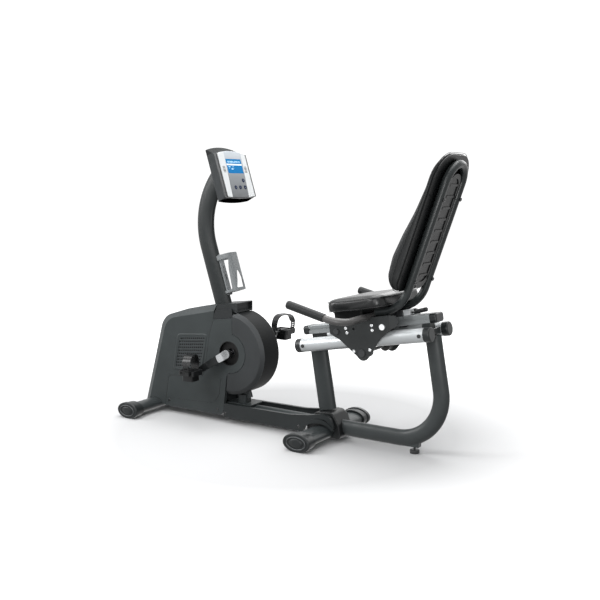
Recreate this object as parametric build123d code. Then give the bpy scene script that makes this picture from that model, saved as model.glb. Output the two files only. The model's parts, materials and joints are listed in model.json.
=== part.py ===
"""Recumbent exercise bike, one STEP file per named piece.

Millimetres. +X runs from the console end to the seat end, +Y to the rider's right,
+Z up. The origin is on the floor, midway along and across the whole bike.
Left is the rider's left, at -Y.
"""
from build123d import *
import os
from math import asin, atan2, cos, degrees, radians, sin, sqrt

os.makedirs("parts", exist_ok=True)

# ---------------------------------------------------------------- driving dimensions
CENTRE_X = 20.2  # middle of the whole bike's length; every node is written relative to it
CRANK_X, CRANK_Z = -275.0, 352.5
CRANK_LENGTH = 165.0
CRANK_ANGLE = 32.0  # left crank below horizontal, pointing forward
PEDAL_Y = 197.0
STRAP_WIDTH, STRAP_SKEW = 42.0, 18.0

FRONT_BAR_X, REAR_BAR_X, BAR_Z = -769.0, 252.0, 40.0
FRONT_BAR_SIZE = (96.0, 52.0)
REAR_BAR_SIZE = (118.0, 58.0)
FRONT_CAP_SIZE = (132.0, 80.0)
REAR_CAP_SIZE = (142.0, 84.0)
BAR_REACH = 280.0  # bike centre to the face of an end cap
CAP_LENGTH = 58.0
BEAM_RADIUS, BEAM_Z = 30.0, 66.0
HUB_HALF = 56.0

RAIL_X, RAIL_Z, RAIL_ANGLE = 475.4, 494.75, 9.8  # middle of the seat tubes, and their slope
SEAT_TUBE_RADIUS, SEAT_TUBE_Y, SEAT_TUBE_HALF = 31.0, 94.4, 337.3
SEAT_TUBE_CAP = 30.0
PROFILE_HALF_W, PROFILE_HALF_H, PROFILE_W = 39.0, 20.0, 61.5
PROFILE_FRONT, PROFILE_REAR = -303.0, 309.0
PROFILE_CAP = 32.0
POST_SIZE = (90.0, 50.0)
REAR_TUBE_SIZE = (74.0, 48.0)
FRONT_POST_U, REAR_POST_U = -285.6, 297.4  # where the posts meet the seat tubes
REAR_BEND_RADIUS = 200.0
REAR_RUN_Z = 59.5
FOOT_X, FOOT_RADIUS = 694.0, 21.5

HOUSING_HALF, BEVEL_DEPTH = 73.0, 23.0
DISC_RIM_RADIUS, DISC_FACE_RADIUS, DISC_RIM_HALF = 205.0, 186.0, 62.0
BOSS_RADIUS, RECESS_RADIUS = 98.0, 60.0
SHELL = 3.5  # plastic wall
SEAM = 0.8  # gap between neighbouring covers

PULLEY_RADIUS, FLYWHEEL_PULLEY_RADIUS = 110.0, 22.0
FLYWHEEL_X, FLYWHEEL_Z, FLYWHEEL_RADIUS = -560.0, 300.0, 112.0
BELT_Y, BELT_WIDTH, BELT_THICKNESS = 40.0, 12.0, 3.0
RUN_CLEARANCE = 0.05

CONSOLE_X, CONSOLE_Z, CONSOLE_TILT = -274.5, 1221.5, 17.4
CONSOLE_DEPTH, CONSOLE_RISE, CONSOLE_DROP = 62.0, 46.0, 14.0  # the back is taller than the face
DISPLAY_AT, DISPLAY_SIZE = (2.0, 39.0), (120.0, 72.0)
KEY_RADIUS = 9.5
KEY_PLACES = {
    "key_upper": (42.0, -32.0), "key_left": (-30.0, -67.0),
    "key_middle": (6.0, -67.0), "key_right": (44.0, -67.0),
}
MAST_SIZE = (98.0, 50.0)
CAGE_LOW, CAGE_HEIGHT, CAGE_SIZE, CAGE_WALL = 140.0, 188.0, (88.0, 92.0), 4.0

PLATE_Y, PLATE_THICKNESS = 137.0, 5.0
BOLT_RADIUS = 3.8
SCREW_HOLE = 7.5  # counterbore through a plastic cover, round the screw head
PLATE_TOP = 99.5
ROLLER_GAP = 0.3
UPPER_ROLLERS_U, UPPER_ROLLER_W = (-95.0, 134.0), 53.5
LOWER_ROLLER_U, LOWER_ROLLER_W = 17.0, -50.6
AXLE_RADIUS = 7.0
HANDLE_RADIUS, GRIP_RADIUS, GRIP_LENGTH = 15.5, 18.5, 190.0
CUSHION_W = (138.0, 194.0)
CUSHION_U = (-112.0, 182.0)
CUSHION_HALF = 200.0
BACK_TUBE_RADIUS, BACK_TUBE_Y, BACK_TUBE_W = 17.5, 85.0, 117.0
BACK_X, BACK_Z, BACK_SLOPE = 690.0, 722.0, 0.348  # point on the back tube, and its dx/dz
BACK_HALF = 176.0
BACK_BOLT_RADIUS = 4.5

CRANK = Plane(origin=(CRANK_X, 0, CRANK_Z), x_dir=(1, 0, 0), z_dir=(0, -1, 0))
TILT = radians(RAIL_ANGLE)
RAIL = Plane(origin=(RAIL_X, 0, RAIL_Z), x_dir=(cos(TILT), 0, sin(TILT)), z_dir=(0, -1, 0))
BACK_LEAN = atan2(BACK_SLOPE, 1)
BACK = Plane(
    origin=(BACK_X, 0, BACK_Z), x_dir=(sin(BACK_LEAN), 0, cos(BACK_LEAN)), z_dir=(0, -1, 0)
)
# the console's face: local x across to the rider's right, local y up the panel, z to the rider
PANEL_TILT = radians(CONSOLE_TILT)
PANEL = Plane(
    origin=(CONSOLE_X, 0, CONSOLE_Z), x_dir=(0, 1, 0),
    z_dir=(cos(PANEL_TILT), 0, sin(PANEL_TILT)),
)


# ---------------------------------------------------------------- shared helpers
def save(name, *solids):
    """Write one node; several solids become a group of separate pieces."""
    pieces = [Pos(-CENTRE_X, 0, 0) * piece for solid in solids for piece in solid.solids()]
    node = pieces[0] if len(pieces) == 1 else Compound(children=pieces)
    export_step(node, f"parts/{name}.step")


def rail_point(u, w):
    """The (x, z) place of a point u along and w above the seat tubes' middle."""
    return (RAIL_X + u * cos(TILT) - w * sin(TILT), RAIL_Z + u * sin(TILT) + w * cos(TILT))


def back_point(along, front):
    """The (x, z) place of a point along the back frame and in front of it."""
    return (BACK_X + along * sin(BACK_LEAN) - front * cos(BACK_LEAN),
            BACK_Z + along * cos(BACK_LEAN) + front * sin(BACK_LEAN))


def outline(points):
    """A face from (x, y, corner radius) points."""
    corners = [(x, y) for x, y, _ in points]
    return make_face(FilletPolyline(*corners, radius=[r for _, _, r in points], close=True))


def prism(sketch, y_low, y_high, plane=Plane.XZ):
    """Extrude a side-view sketch across the bike between two y values."""
    return extrude(plane.offset(-y_high) * sketch, amount=y_high - y_low)


def mirrored(solid):
    return mirror(solid, about=Plane.XZ)


def rod(radius, y_low, y_high, x, z, hole=0.0):
    """A cylinder across the bike, with an optional bore."""
    ring = Circle(radius) - Circle(hole) if hole else Circle(radius)
    return prism(Pos(x, z) * ring, y_low, y_high)


def ring_section(size, wall):
    """An oval tube's section, long axis along local x."""
    return Ellipse(size[0] / 2, size[1] / 2) - Ellipse(size[0] / 2 - wall, size[1] / 2 - wall)


def swept(points, radii, section, across=(0, 1, 0)):
    """Sweep a section along straight runs joined by arcs; local y of the section is `across`."""
    path = FilletPolyline(*points, radius=radii) if radii else Line(*points)
    wire = Wire(path.edges())
    tangent = wire % 0
    plane = Plane(origin=wire @ 0, x_dir=Vector(*across).cross(tangent), z_dir=tangent)
    return sweep(plane * section, path=wire)


# ---------------------------------------------------------------- base frame
def oval_cap(size, reach, bar_size):
    """End cap of a crossbar, flat underneath, with a sleeve over the tube and a raised ring."""
    a, b = size[0] / 2, size[1] / 2 + 1.5
    body = extrude(Ellipse(a, b), amount=20)
    sleeve = Pos(0, 0, 20) * extrude(Ellipse(a - 4, b - 4), amount=CAP_LENGTH - 20)
    body = fillet(body.faces().sort_by(Axis.Z)[0].edges(), 5) + sleeve
    body -= extrude(Ellipse(a - 14, b - 14), amount=3)
    body += Pos(0, 0, 1) * extrude(Ellipse(a - 20, b - 20), amount=2)
    body -= Pos(0, 0, 15) * extrude(Ellipse(bar_size[0] / 2, bar_size[1] / 2), amount=CAP_LENGTH)
    placed = Plane(origin=(0, -reach, BAR_Z), x_dir=(1, 0, 0), z_dir=(0, 1, 0)) * body
    return placed & Pos(0, -reach, 100) * Box(400, 300, 200)


def make_crossbars():
    half = BAR_REACH - 15
    for name, x, size in (
        ("front_crossbar", FRONT_BAR_X, FRONT_BAR_SIZE),
        ("rear_crossbar", REAR_BAR_X, REAR_BAR_SIZE),
    ):
        bar = prism(Pos(x, BAR_Z) * ring_section(size, 2.5), -half, half)
        save(name, bar)
    caps = []
    for x, size, bar_size in (
        (FRONT_BAR_X, FRONT_CAP_SIZE, FRONT_BAR_SIZE),
        (REAR_BAR_X, REAR_CAP_SIZE, REAR_BAR_SIZE),
    ):
        left = Pos(x, 0, 0) * oval_cap(size, BAR_REACH, bar_size)
        caps += [left, mirrored(left)]
    save("crossbar_end_caps", *caps)


def bar_cutter(x, size, grow=0.3):
    return prism(Pos(x, BAR_Z) * Ellipse(size[0] / 2 + grow, size[1] / 2 + grow), -300, 300)


def make_base_beam():
    beam = Plane(origin=(FRONT_BAR_X, 0, BEAM_Z), z_dir=(1, 0, 0)) * extrude(
        Circle(BEAM_RADIUS) - Circle(BEAM_RADIUS - 2.5), amount=REAR_BAR_X - FRONT_BAR_X - 60)
    save("base_beam", beam - bar_cutter(FRONT_BAR_X, FRONT_BAR_SIZE))


def rear_post_path():
    """Centre line of the bent rear tube, from the hub to the seat tubes."""
    x_top, z_top = rail_point(REAR_POST_U, -15)
    lean = sin(TILT) / cos(TILT)
    x_corner = x_top + (z_top - REAR_RUN_Z) * lean
    return [(REAR_BAR_X + 40, 0, REAR_RUN_Z), (x_corner, 0, REAR_RUN_Z), (x_top, 0, z_top)]


def saddle(u_low, u_high):
    """Welded block that joins a post to both seat tubes and carries the rail profile."""
    middle, length = (u_low + u_high) / 2, u_high - u_low
    block = prism(Pos(middle, 0) * RectangleRounded(length, 30, 4), -80, 80, RAIL)
    block += prism(Pos(middle, 28) * Rectangle(length - 8, 27), -24, 24, RAIL)
    for side in (-1, 1):
        block -= seat_tube_solid(side, SEAT_TUBE_RADIUS)
    return block


def seat_tube_solid(side, radius):
    x, z = rail_point(-SEAT_TUBE_HALF, 0)
    plane = Plane(origin=(x, side * SEAT_TUBE_Y, z), z_dir=(cos(TILT), 0, sin(TILT)))
    return plane * extrude(Circle(radius), amount=2 * SEAT_TUBE_HALF)


def make_posts():
    x_low, z_low = rail_point(FRONT_POST_U, -316)
    x_top, z_top = rail_point(FRONT_POST_U, -15)
    front = swept([(x_low, 0, z_low), (x_top, 0, z_top)], None, ring_section(POST_SIZE, 3))
    save("front_post", front + saddle(-301, -243))

    path = rear_post_path()
    rear = swept(path, [REAR_BEND_RADIUS], ring_section(REAR_TUBE_SIZE, 3))
    gusset = prism(outline([(FOOT_X - 52, 29, 2), (FOOT_X + 24, 29, 2), (FOOT_X + 26, 70, 0),
                            (FOOT_X - 52, 34, 0)]), -14, 14)
    solid_tube = swept(path, [REAR_BEND_RADIUS],
                       Ellipse(REAR_TUBE_SIZE[0] / 2 - 1, REAR_TUBE_SIZE[1] / 2 - 1))
    gusset -= solid_tube
    gusset -= Pos(FOOT_X, 0, 40) * Cylinder(5 + RUN_CLEARANCE, 60)
    rear -= Pos(FOOT_X, 0, 20) * Cylinder(5 + RUN_CLEARANCE, 60)
    rear -= bar_cutter(REAR_BAR_X, REAR_BAR_SIZE)
    save("rear_post", rear + gusset + saddle(258, 305))


def make_hub():
    side = outline([
        (REAR_BAR_X - 86, 14, 12), (REAR_BAR_X + 98, 14, 18), (REAR_BAR_X + 86, 80, 30),
        (REAR_BAR_X + 50, 136, 26), (REAR_BAR_X - 34, 128, 16), (REAR_BAR_X - 86, 92, 24),
    ])
    hub = prism(side, -HUB_HALF, HUB_HALF)
    hub = fillet(hub.faces().sort_by(Axis.Y)[0].edges(), 5)
    hub = fillet(hub.faces().sort_by(Axis.Y)[-1].edges(), 5)
    hub -= bar_cutter(REAR_BAR_X, REAR_BAR_SIZE)
    hub -= Plane(origin=(0, 0, BEAM_Z), z_dir=(1, 0, 0)) * extrude(
        Circle(BEAM_RADIUS + 0.3), amount=REAR_BAR_X - 60)
    x_low, z_low = rail_point(FRONT_POST_U, -316)
    x_top, z_top = rail_point(FRONT_POST_U, -150)
    hub -= swept([(x_low, 0, z_low), (x_top, 0, z_top)], None,
                 Ellipse(POST_SIZE[0] / 2 + 0.2, POST_SIZE[1] / 2 + 0.2))
    run = Plane(origin=(REAR_BAR_X + 40, 0, REAR_RUN_Z), x_dir=(0, 0, 1), z_dir=(1, 0, 0))
    hub -= run * extrude(
        Ellipse(REAR_TUBE_SIZE[0] / 2 + 0.2, REAR_TUBE_SIZE[1] / 2 + 0.2), amount=120)
    save("hub_sleeve", hub)


def skirt_outline(inset):
    """Side view of a beam skirt, level along the beam and arched over the rear crossbar."""
    x, i = REAR_BAR_X, inset
    return outline([
        (CRANK_X - 34 + i, 30 + i, 4), (x - 96 - i, 30 + i, 6), (x - 76 - i, 76 + i, 30),
        (x - 22, 104 + i, 40), (x + 32, 102 + i, 30), (x + 62 - i, 62, 4),
        (x + 72 - i, 70, 4), (x + 54 - i, 116 - i, 26), (x + 10, 128 - i, 40),
        (x - 70, 112 - i, 120), (x - 170, 101 - i, 200), (CRANK_X - 34 + i, 98 - i, 6),
    ])


def make_skirts():
    outer = prism(skirt_outline(0), -77, -61)
    outer = outer - prism(skirt_outline(3.5), -73.5, -60)
    arch = prism(Pos(REAR_BAR_X - 8, 36) * (Ellipse(88, 66) - Ellipse(78, 46)), -80, -74)
    arch &= prism(Pos(REAR_BAR_X - 8, 100) * Rectangle(190, 84), -90, -70)
    left = outer + arch - bar_cutter(REAR_BAR_X, REAR_BAR_SIZE)
    for x in (CRANK_X - 24, REAR_BAR_X - 118):
        left -= rod(SCREW_HOLE, -90, -60, x, 50)
    save("beam_skirts", left, mirrored(left))


# ---------------------------------------------------------------- rear foot
def make_rear_foot():
    pad = Pos(FOOT_X, 0, 8) * Cylinder(FOOT_RADIUS, 16)
    pad = fillet(pad.faces().sort_by(Axis.Z)[-1].edges(), 4)
    pad = fillet(pad.faces().sort_by(Axis.Z)[0].edges(), 1.5)
    stem = Pos(FOOT_X, 0, 31) * Cylinder(5, 32)
    save("levelling_foot", pad + stem)


# ---------------------------------------------------------------- seat tubes and rail
def make_seat_tubes():
    tubes, caps = [], []
    length = 2 * (SEAT_TUBE_HALF - SEAT_TUBE_CAP)
    for side in (-1, 1):
        for end in (-1, 1):
            cap = Cylinder(SEAT_TUBE_RADIUS + 1, SEAT_TUBE_CAP)
            cap = fillet(cap.faces().sort_by(Axis.Z)[-1].edges(), 7)
            x, z = rail_point(end * (SEAT_TUBE_HALF - SEAT_TUBE_CAP / 2), 0)
            plane = Plane(origin=(x, side * SEAT_TUBE_Y, z),
                          z_dir=(end * cos(TILT), 0, end * sin(TILT)))
            caps.append(plane * cap)
        x, z = rail_point(-length / 2, 0)
        plane = Plane(origin=(x, side * SEAT_TUBE_Y, z), z_dir=(cos(TILT), 0, sin(TILT)))
        tube = plane * extrude(Circle(SEAT_TUBE_RADIUS) - Circle(SEAT_TUBE_RADIUS - 3),
                               amount=length)
        for end in (-1, 1):
            x, z = rail_point(end * (SEAT_TUBE_HALF - SEAT_TUBE_CAP - 16), 0)
            low, high = sorted((side * SEAT_TUBE_Y, side * (SEAT_TUBE_Y + 60)))
            tube -= rod(5.5, low, high, x, z)
        tubes.append(tube)
    save("seat_tubes", *tubes)
    return caps


def profile_section(grooved=True):
    section = RectangleRounded(2 * PROFILE_HALF_W, 2 * PROFILE_HALF_H, 3)
    if grooved:
        for side in (-1, 1):
            section -= Pos(side * PROFILE_HALF_W, 2) * Rectangle(10, 9)
            section -= Pos(side * 16, PROFILE_HALF_H) * Rectangle(7, 8)
            section -= Pos(side * 19, -3) * Rectangle(28, 16)
    return section


def make_rail_profile():
    x, z = rail_point(PROFILE_FRONT, PROFILE_W)
    plane = Plane(origin=(x, 0, z), x_dir=(0, 1, 0), z_dir=(cos(TILT), 0, sin(TILT)))
    rail = plane * extrude(profile_section(), amount=PROFILE_REAR - PROFILE_FRONT)
    save("rail_profile", rail)
    caps = []
    for end, u in ((-1, PROFILE_FRONT), (1, PROFILE_REAR)):
        x, z = rail_point(u, PROFILE_W)
        plane = Plane(origin=(x, 0, z), x_dir=(0, 1, 0), z_dir=(end * cos(TILT), 0, end * sin(TILT)))
        cap = extrude(RectangleRounded(2 * PROFILE_HALF_W + 3, 2 * PROFILE_HALF_H + 1.6, 14),
                      amount=PROFILE_CAP)
        cap = fillet(cap.faces().sort_by(Axis.Z)[-1].edges(), 8)
        caps.append(plane * cap)
    return caps


def make_rails():
    save("rail_end_caps", *make_seat_tubes(), *make_rail_profile())


# ---------------------------------------------------------------- drive housing
def housing_outline(side_face):
    """Side view of the front housing: its widest outline, or the flat face inside the bevel."""
    if side_face:
        return outline([(-812, 36, 4), (-676, 492, 92), (-530, 522, 300), (-340, 560, 10),
                        (-200, 560, 0), (-200, 36, 0)])
    return outline([(-849, 36, 6), (-716, 500, 100), (-545, 552, 320), (-340, 592, 10),
                    (-200, 592, 0), (-200, 36, 0)])


def housing_solid(inset):
    """Left half of the housing's envelope, |y| up to HOUSING_HALF, less an inset."""
    edge_y = HOUSING_HALF - BEVEL_DEPTH
    wide, narrow = housing_outline(False), housing_outline(True)
    if inset:
        wide, narrow = offset(wide, -inset), offset(narrow, -inset)
    body = prism(wide, -edge_y, 0.0)
    bevel = loft([Plane.XZ.offset(edge_y) * wide, Plane.XZ.offset(HOUSING_HALF - inset) * narrow],
                 ruled=True)
    return body + bevel


def panel_outline(grow=0.0):
    """Side view of the crank panel: column from the top cap, round boss, and lower panel."""
    g = grow
    column = outline([
        (CRANK_X - 94 - g, 514 + g, 0), (CRANK_X - 119 - g, 448, 60),
        (CRANK_X - 152 - g, 262, 16), (CRANK_X - 168 - g, 216 + g, 20),
        (-668 - g, 199 + g, 6), (-697 - g, 36 - g, 4), (CRANK_X - 42 + g, 36 - g, 26),
        (CRANK_X - 16 + g, 236, 14), (CRANK_X + 20 + g, 300, 0),
        (CRANK_X + 20 + g, 528 + g, 0),
    ])
    return column + Pos(CRANK_X, CRANK_Z) * Circle(BOSS_RADIUS + g)


def behind_panel():
    """Region of the side view taken by the round cover, behind the crank panel."""
    return outline([
        (CRANK_X - 60, 420, 0), (CRANK_X - 60, 700, 0), (CRANK_X + 260, 700, 0),
        (CRANK_X + 260, 90, 0), (CRANK_X - 26, 90, 0), (CRANK_X - 12, 236, 0),
        (CRANK_X - 10, 420, 0),
    ])


GRILLE_LOW, GRILLE_PITCH, GRILLE_SLATS = 256.0, 15.5, 11
GRILLE_INNER = [(-622, 246, 10), (-590, 404, 34), (-426, 422, 8), (-462, 262, 8)]


def make_front_shells():
    shell = housing_solid(0) - housing_solid(SHELL)
    keep = prism(outline([(-900, 30, 0), (-900, 700, 0), (CRANK_X - 80, 700, 0),
                          (CRANK_X - 94, 514, 0), (CRANK_X - 100, 30, 0)]), -80, 0)
    shell &= keep
    shell -= prism(panel_outline(SEAM), -90, -40)
    shell -= bar_cutter(FRONT_BAR_X, FRONT_BAR_SIZE, 1.5)
    shell -= Pos(FRONT_BAR_X, 0, 20) * Box(FRONT_BAR_SIZE[0] - 6, 400, 40)
    shell -= mast_cutter(1.0)
    shell -= top_cap_block(SEAM)
    floor = prism(outline([(-845, 30, 0), (-845, 39.5, 0), (-330, 39.5, 0), (-330, 30, 0)]), -90, 0)
    shell -= floor
    pocket = prism(outline(GRILLE_INNER), -80, -HOUSING_HALF + SHELL + 9)
    shell -= pocket
    left = max(shell.solids(), key=lambda s: s.volume)
    save("front_shell_left", left)
    save("front_shell_right", mirrored(left))


def make_grilles():
    back = prism(outline(GRILLE_INNER), -HOUSING_HALF + SHELL + 1, -HOUSING_HALF + SHELL + 3)
    slats = prism(outline(GRILLE_INNER), -HOUSING_HALF + 0.5, -HOUSING_HALF + SHELL + 1)
    bars = Part() + [
        Pos(-525, -HOUSING_HALF + 2.5, GRILLE_LOW + index * GRILLE_PITCH) * Rot(0, -5.5, 0)
        * Box(260, 8, 7) for index in range(GRILLE_SLATS)
    ]
    left = back + (slats & bars)
    save("side_grilles", left, mirrored(left))


def make_side_panels():
    grow = prism(panel_outline(), -HOUSING_HALF - 0.5, -HOUSING_HALF + 17)
    inner = prism(offset(panel_outline(), -SHELL), -HOUSING_HALF + SHELL - 0.5, 0)
    left = grow - inner
    left -= prism(Pos(CRANK_X, CRANK_Z) * Circle(RECESS_RADIUS), -90, -10)
    cup = prism(Pos(CRANK_X, CRANK_Z) * (Circle(RECESS_RADIUS) - Circle(RECESS_RADIUS - 3)),
                -HOUSING_HALF - 0.5, -HOUSING_HALF + 17)
    floor = prism(Pos(CRANK_X, CRANK_Z) * (Circle(RECESS_RADIUS) - Circle(24)),
                  -HOUSING_HALF + 14, -HOUSING_HALF + 17)
    left = left + cup + floor
    left -= rod(SCREW_HOLE, -80, -50, -668, 66)
    left -= rod(SCREW_HOLE, -80, -50, CRANK_X - 76, 62)
    save("side_panel_left", left)
    save("side_panel_right", mirrored(left))


def make_round_covers():
    profile = make_face(Polyline(
        (100, 0), (DISC_RIM_RADIUS, 0), (DISC_RIM_RADIUS, DISC_RIM_HALF - 2),
        (DISC_RIM_RADIUS - 3, DISC_RIM_HALF), (DISC_FACE_RADIUS + 2, HOUSING_HALF - 1),
        (DISC_FACE_RADIUS - 1, HOUSING_HALF), (100, HOUSING_HALF), close=True))
    hollow = make_face(Polyline(
        (99, -1), (DISC_RIM_RADIUS - SHELL, -1), (DISC_RIM_RADIUS - SHELL, DISC_RIM_HALF - 3),
        (DISC_FACE_RADIUS - 3, HOUSING_HALF - SHELL), (99, HOUSING_HALF - SHELL), close=True))
    # the section's second coordinate runs to -Y
    turn = Plane(origin=(CRANK_X, 0, CRANK_Z), x_dir=(1, 0, 0), z_dir=(0, 0, -1))
    axis = Axis((CRANK_X, 0, CRANK_Z), (0, 1, 0))
    ring = revolve(turn * profile, axis) - revolve(turn * hollow, axis)
    disc = ring
    disc &= prism(behind_panel(), -90, 0)
    disc -= prism(panel_outline(SEAM), -90, -HOUSING_HALF + 17.5)
    disc -= top_cap_block(SEAM)
    disc -= Pos(-228, 0, 130) * Box(84, 58, 84)
    left = max(disc.solids(), key=lambda s: s.volume)
    save("round_cover_left", left)
    save("round_cover_right", mirrored(left))


def top_cap_block(grow=0.0):
    """Envelope of the cap that closes the top of the column behind the mast."""
    g = grow
    side = outline([
        (CRANK_X - 98 - g, 514 + SEAM - g, 0), (CRANK_X - 78 - g, 586, 0),
        (CRANK_X - 76, 589 + g, 0), (CRANK_X + 44 + g, 603 + g, 3), (CRANK_X + 44 + g, 556 - g, 3),
        (CRANK_X + 22 + g, 530 + SEAM - g, 4),
    ])
    block = prism(side, -64 - g, 64 + g)
    lower = outline([
        (CRANK_X - 98 - g, 514 + SEAM - g, 0), (CRANK_X - 82 - g, 560, 4),
        (CRANK_X + 20 + g, 574, 8), (CRANK_X + 22 + g, 530 + SEAM - g, 4)])
    return block + prism(lower, -HOUSING_HALF - g, HOUSING_HALF + g)


def make_top_cap():
    cap = top_cap_block()
    inner = prism(outline([
        (CRANK_X - 110, 500, 0), (CRANK_X - 80, 583, 0), (CRANK_X + 38, 598, 3),
        (CRANK_X + 38, 562, 3), (CRANK_X + 16, 526, 3)]), -60, 60)
    recess = prism(outline([
        (CRANK_X + 60, 598, 0), (CRANK_X + 34, 598, 3), (CRANK_X + 30, 560, 3),
        (CRANK_X + 60, 566, 0)]), -58, 58)
    cap = cap - inner + (top_cap_block() & prism(outline([
        (CRANK_X + 27, 520, 0), (CRANK_X + 27, 604, 0), (CRANK_X + 31, 604, 0),
        (CRANK_X + 31, 520, 0)]), -64, 64))
    cap -= recess
    disc = prism(Pos(CRANK_X, CRANK_Z) * Circle(DISC_RIM_RADIUS + SEAM), -66, 66)
    cap -= disc
    cap -= mast_cutter(1.0)
    save("top_cap", max(cap.solids(), key=lambda s: s.volume))


# ---------------------------------------------------------------- mast, cage and console
def mast_points():
    """Centre line of the mast: up and forward out of the housing, then back to the console."""
    return [(-331.0, 0, 490.0), (-508.0, 0, 1047.7), (-319.0, 0, 1285.0)]


def mast_cutter(grow):
    low, corner, _ = mast_points()
    return swept([low, corner], None,
                 Ellipse(MAST_SIZE[0] / 2 + grow, MAST_SIZE[1] / 2 + grow))


def make_mast():
    tube = swept(mast_points(), [350], ring_section(MAST_SIZE, 2.5))
    inside_console = PANEL * Pos(0, 0, 100 - CONSOLE_DEPTH + SHELL) * Box(400, 400, 200)
    save("mast", tube - inside_console)


def make_bottle_cage():
    """Open cage for a bottle on the mast: top hoop, low shelf, and a front band on two legs."""
    low, corner, _ = [Vector(*p) for p in mast_points()]
    up = (corner - low).normalized()
    out = Vector(up.Z, 0, -up.X)
    base = low + up * CAGE_LOW + out * (MAST_SIZE[0] / 2 + 0.3)
    # local x out from the mast, local y or z up it
    side = Plane(origin=base, x_dir=out, z_dir=(0, -1, 0))
    top = Plane(origin=base, x_dir=out, z_dir=up)
    front = Plane(origin=base, x_dir=(0, 1, 0), z_dir=out)
    depth, width = CAGE_SIZE
    outer = Pos(depth / 2, 0) * RectangleRounded(depth, width, 30)
    inner = Pos(depth / 2, 0) * RectangleRounded(
        depth - 2 * CAGE_WALL, width - 2 * CAGE_WALL, 30 - CAGE_WALL)
    cage = top * extrude(outer - inner, amount=CAGE_HEIGHT)
    window = outline([(-4, 12, 0), (62, 12, 6), (69, 110, 30), (79, 166, 4), (-4, 166, 0)])
    for low_y, high_y in ((-60, -15), (15, 60)):
        cage -= prism(window, low_y, high_y, side)
    cage -= front.offset(62) * extrude(
        outline([(-32, 12, 4), (32, 12, 4), (6, 96, 4), (-6, 96, 4)]), amount=40)
    cage += top * extrude(outer - Pos(depth / 2, 0) * Circle(16), amount=CAGE_WALL + 1)
    cage += prism(Pos(4, CAGE_HEIGHT / 2) * RectangleRounded(8, CAGE_HEIGHT + 18, 3), -15, 15, side)
    cage -= front * extrude(Pos(0, 132) * Circle(4) + Pos(0, 82) * RectangleRounded(7, 26, 3), amount=12)
    save("bottle_cage", cage)


def console_outline(grow=0.0, lift=0.0, drop=0.0):
    """Front view of the console: straight sides, arched top and a gently bowed bottom."""
    side, low, high = 118 + grow, -112 - grow - drop, 100 + grow + lift
    return make_face(
        ThreePointArc((-side, low), (0, low - 8), (side, low)) + Line((side, low), (side, high))
        + ThreePointArc((side, high), (0, high + 16), (-side, high)) + Line((-side, high), (-side, low)))


def console_hull(inset):
    """Envelope of the back shell in panel coordinates, spreading towards the rear."""
    front = Plane.XY.offset(-12 + inset / 50) * console_outline(-inset)
    rear = Plane.XY.offset(inset - CONSOLE_DEPTH) * console_outline(
        -4 - inset, CONSOLE_RISE, CONSOLE_DROP)
    hull = loft([front, rear], ruled=True)
    return fillet(hull.faces().sort_by(Axis.Z)[0].edges(), 6)


def make_console():
    """Back shell, front bezel, display and four round keys."""
    back = console_hull(0) - console_hull(SHELL)
    low, corner, top = mast_points()
    neck = swept([corner, top], None, Ellipse(MAST_SIZE[0] / 2 + 0.3, MAST_SIZE[1] / 2 + 0.3))
    save("console_back", PANEL * back - neck)

    front = extrude(console_outline(), amount=-12)
    front = fillet(front.edges().group_by(Axis.Z)[-1], 4)
    front -= Pos(0, 0, -12) * extrude(console_outline(-3), amount=8)
    front -= Pos(*DISPLAY_AT, -1.8) * extrude(Rectangle(*DISPLAY_SIZE), amount=5)
    front -= Pos(*DISPLAY_AT, -8) * extrude(
        Rectangle(DISPLAY_SIZE[0] - 6, DISPLAY_SIZE[1] - 6), amount=12)
    for x, y in KEY_PLACES.values():
        front -= Pos(x, y, -10) * extrude(Circle(KEY_RADIUS + 0.35), amount=20)
    save("console_front", PANEL * front)

    lens = Pos(*DISPLAY_AT, -1.8) * extrude(
        Rectangle(DISPLAY_SIZE[0] - 0.4, DISPLAY_SIZE[1] - 0.4), amount=1.6)
    save("display", PANEL * lens)
    board = Pos(0, -6, -20) * extrude(RectangleRounded(190, 180, 4), amount=1.6)
    save("circuit_board", PANEL * board)
    for name, (x, y) in KEY_PLACES.items():
        cap = Pos(x, y, -9) * extrude(Circle(KEY_RADIUS), amount=10.5)
        cap = fillet(cap.faces().sort_by(Axis.Z)[-1].edges(), 1)
        stem = Pos(x, y, -16) * extrude(Circle(3), amount=8)
        save(name, PANEL * (cap + stem))


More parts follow.
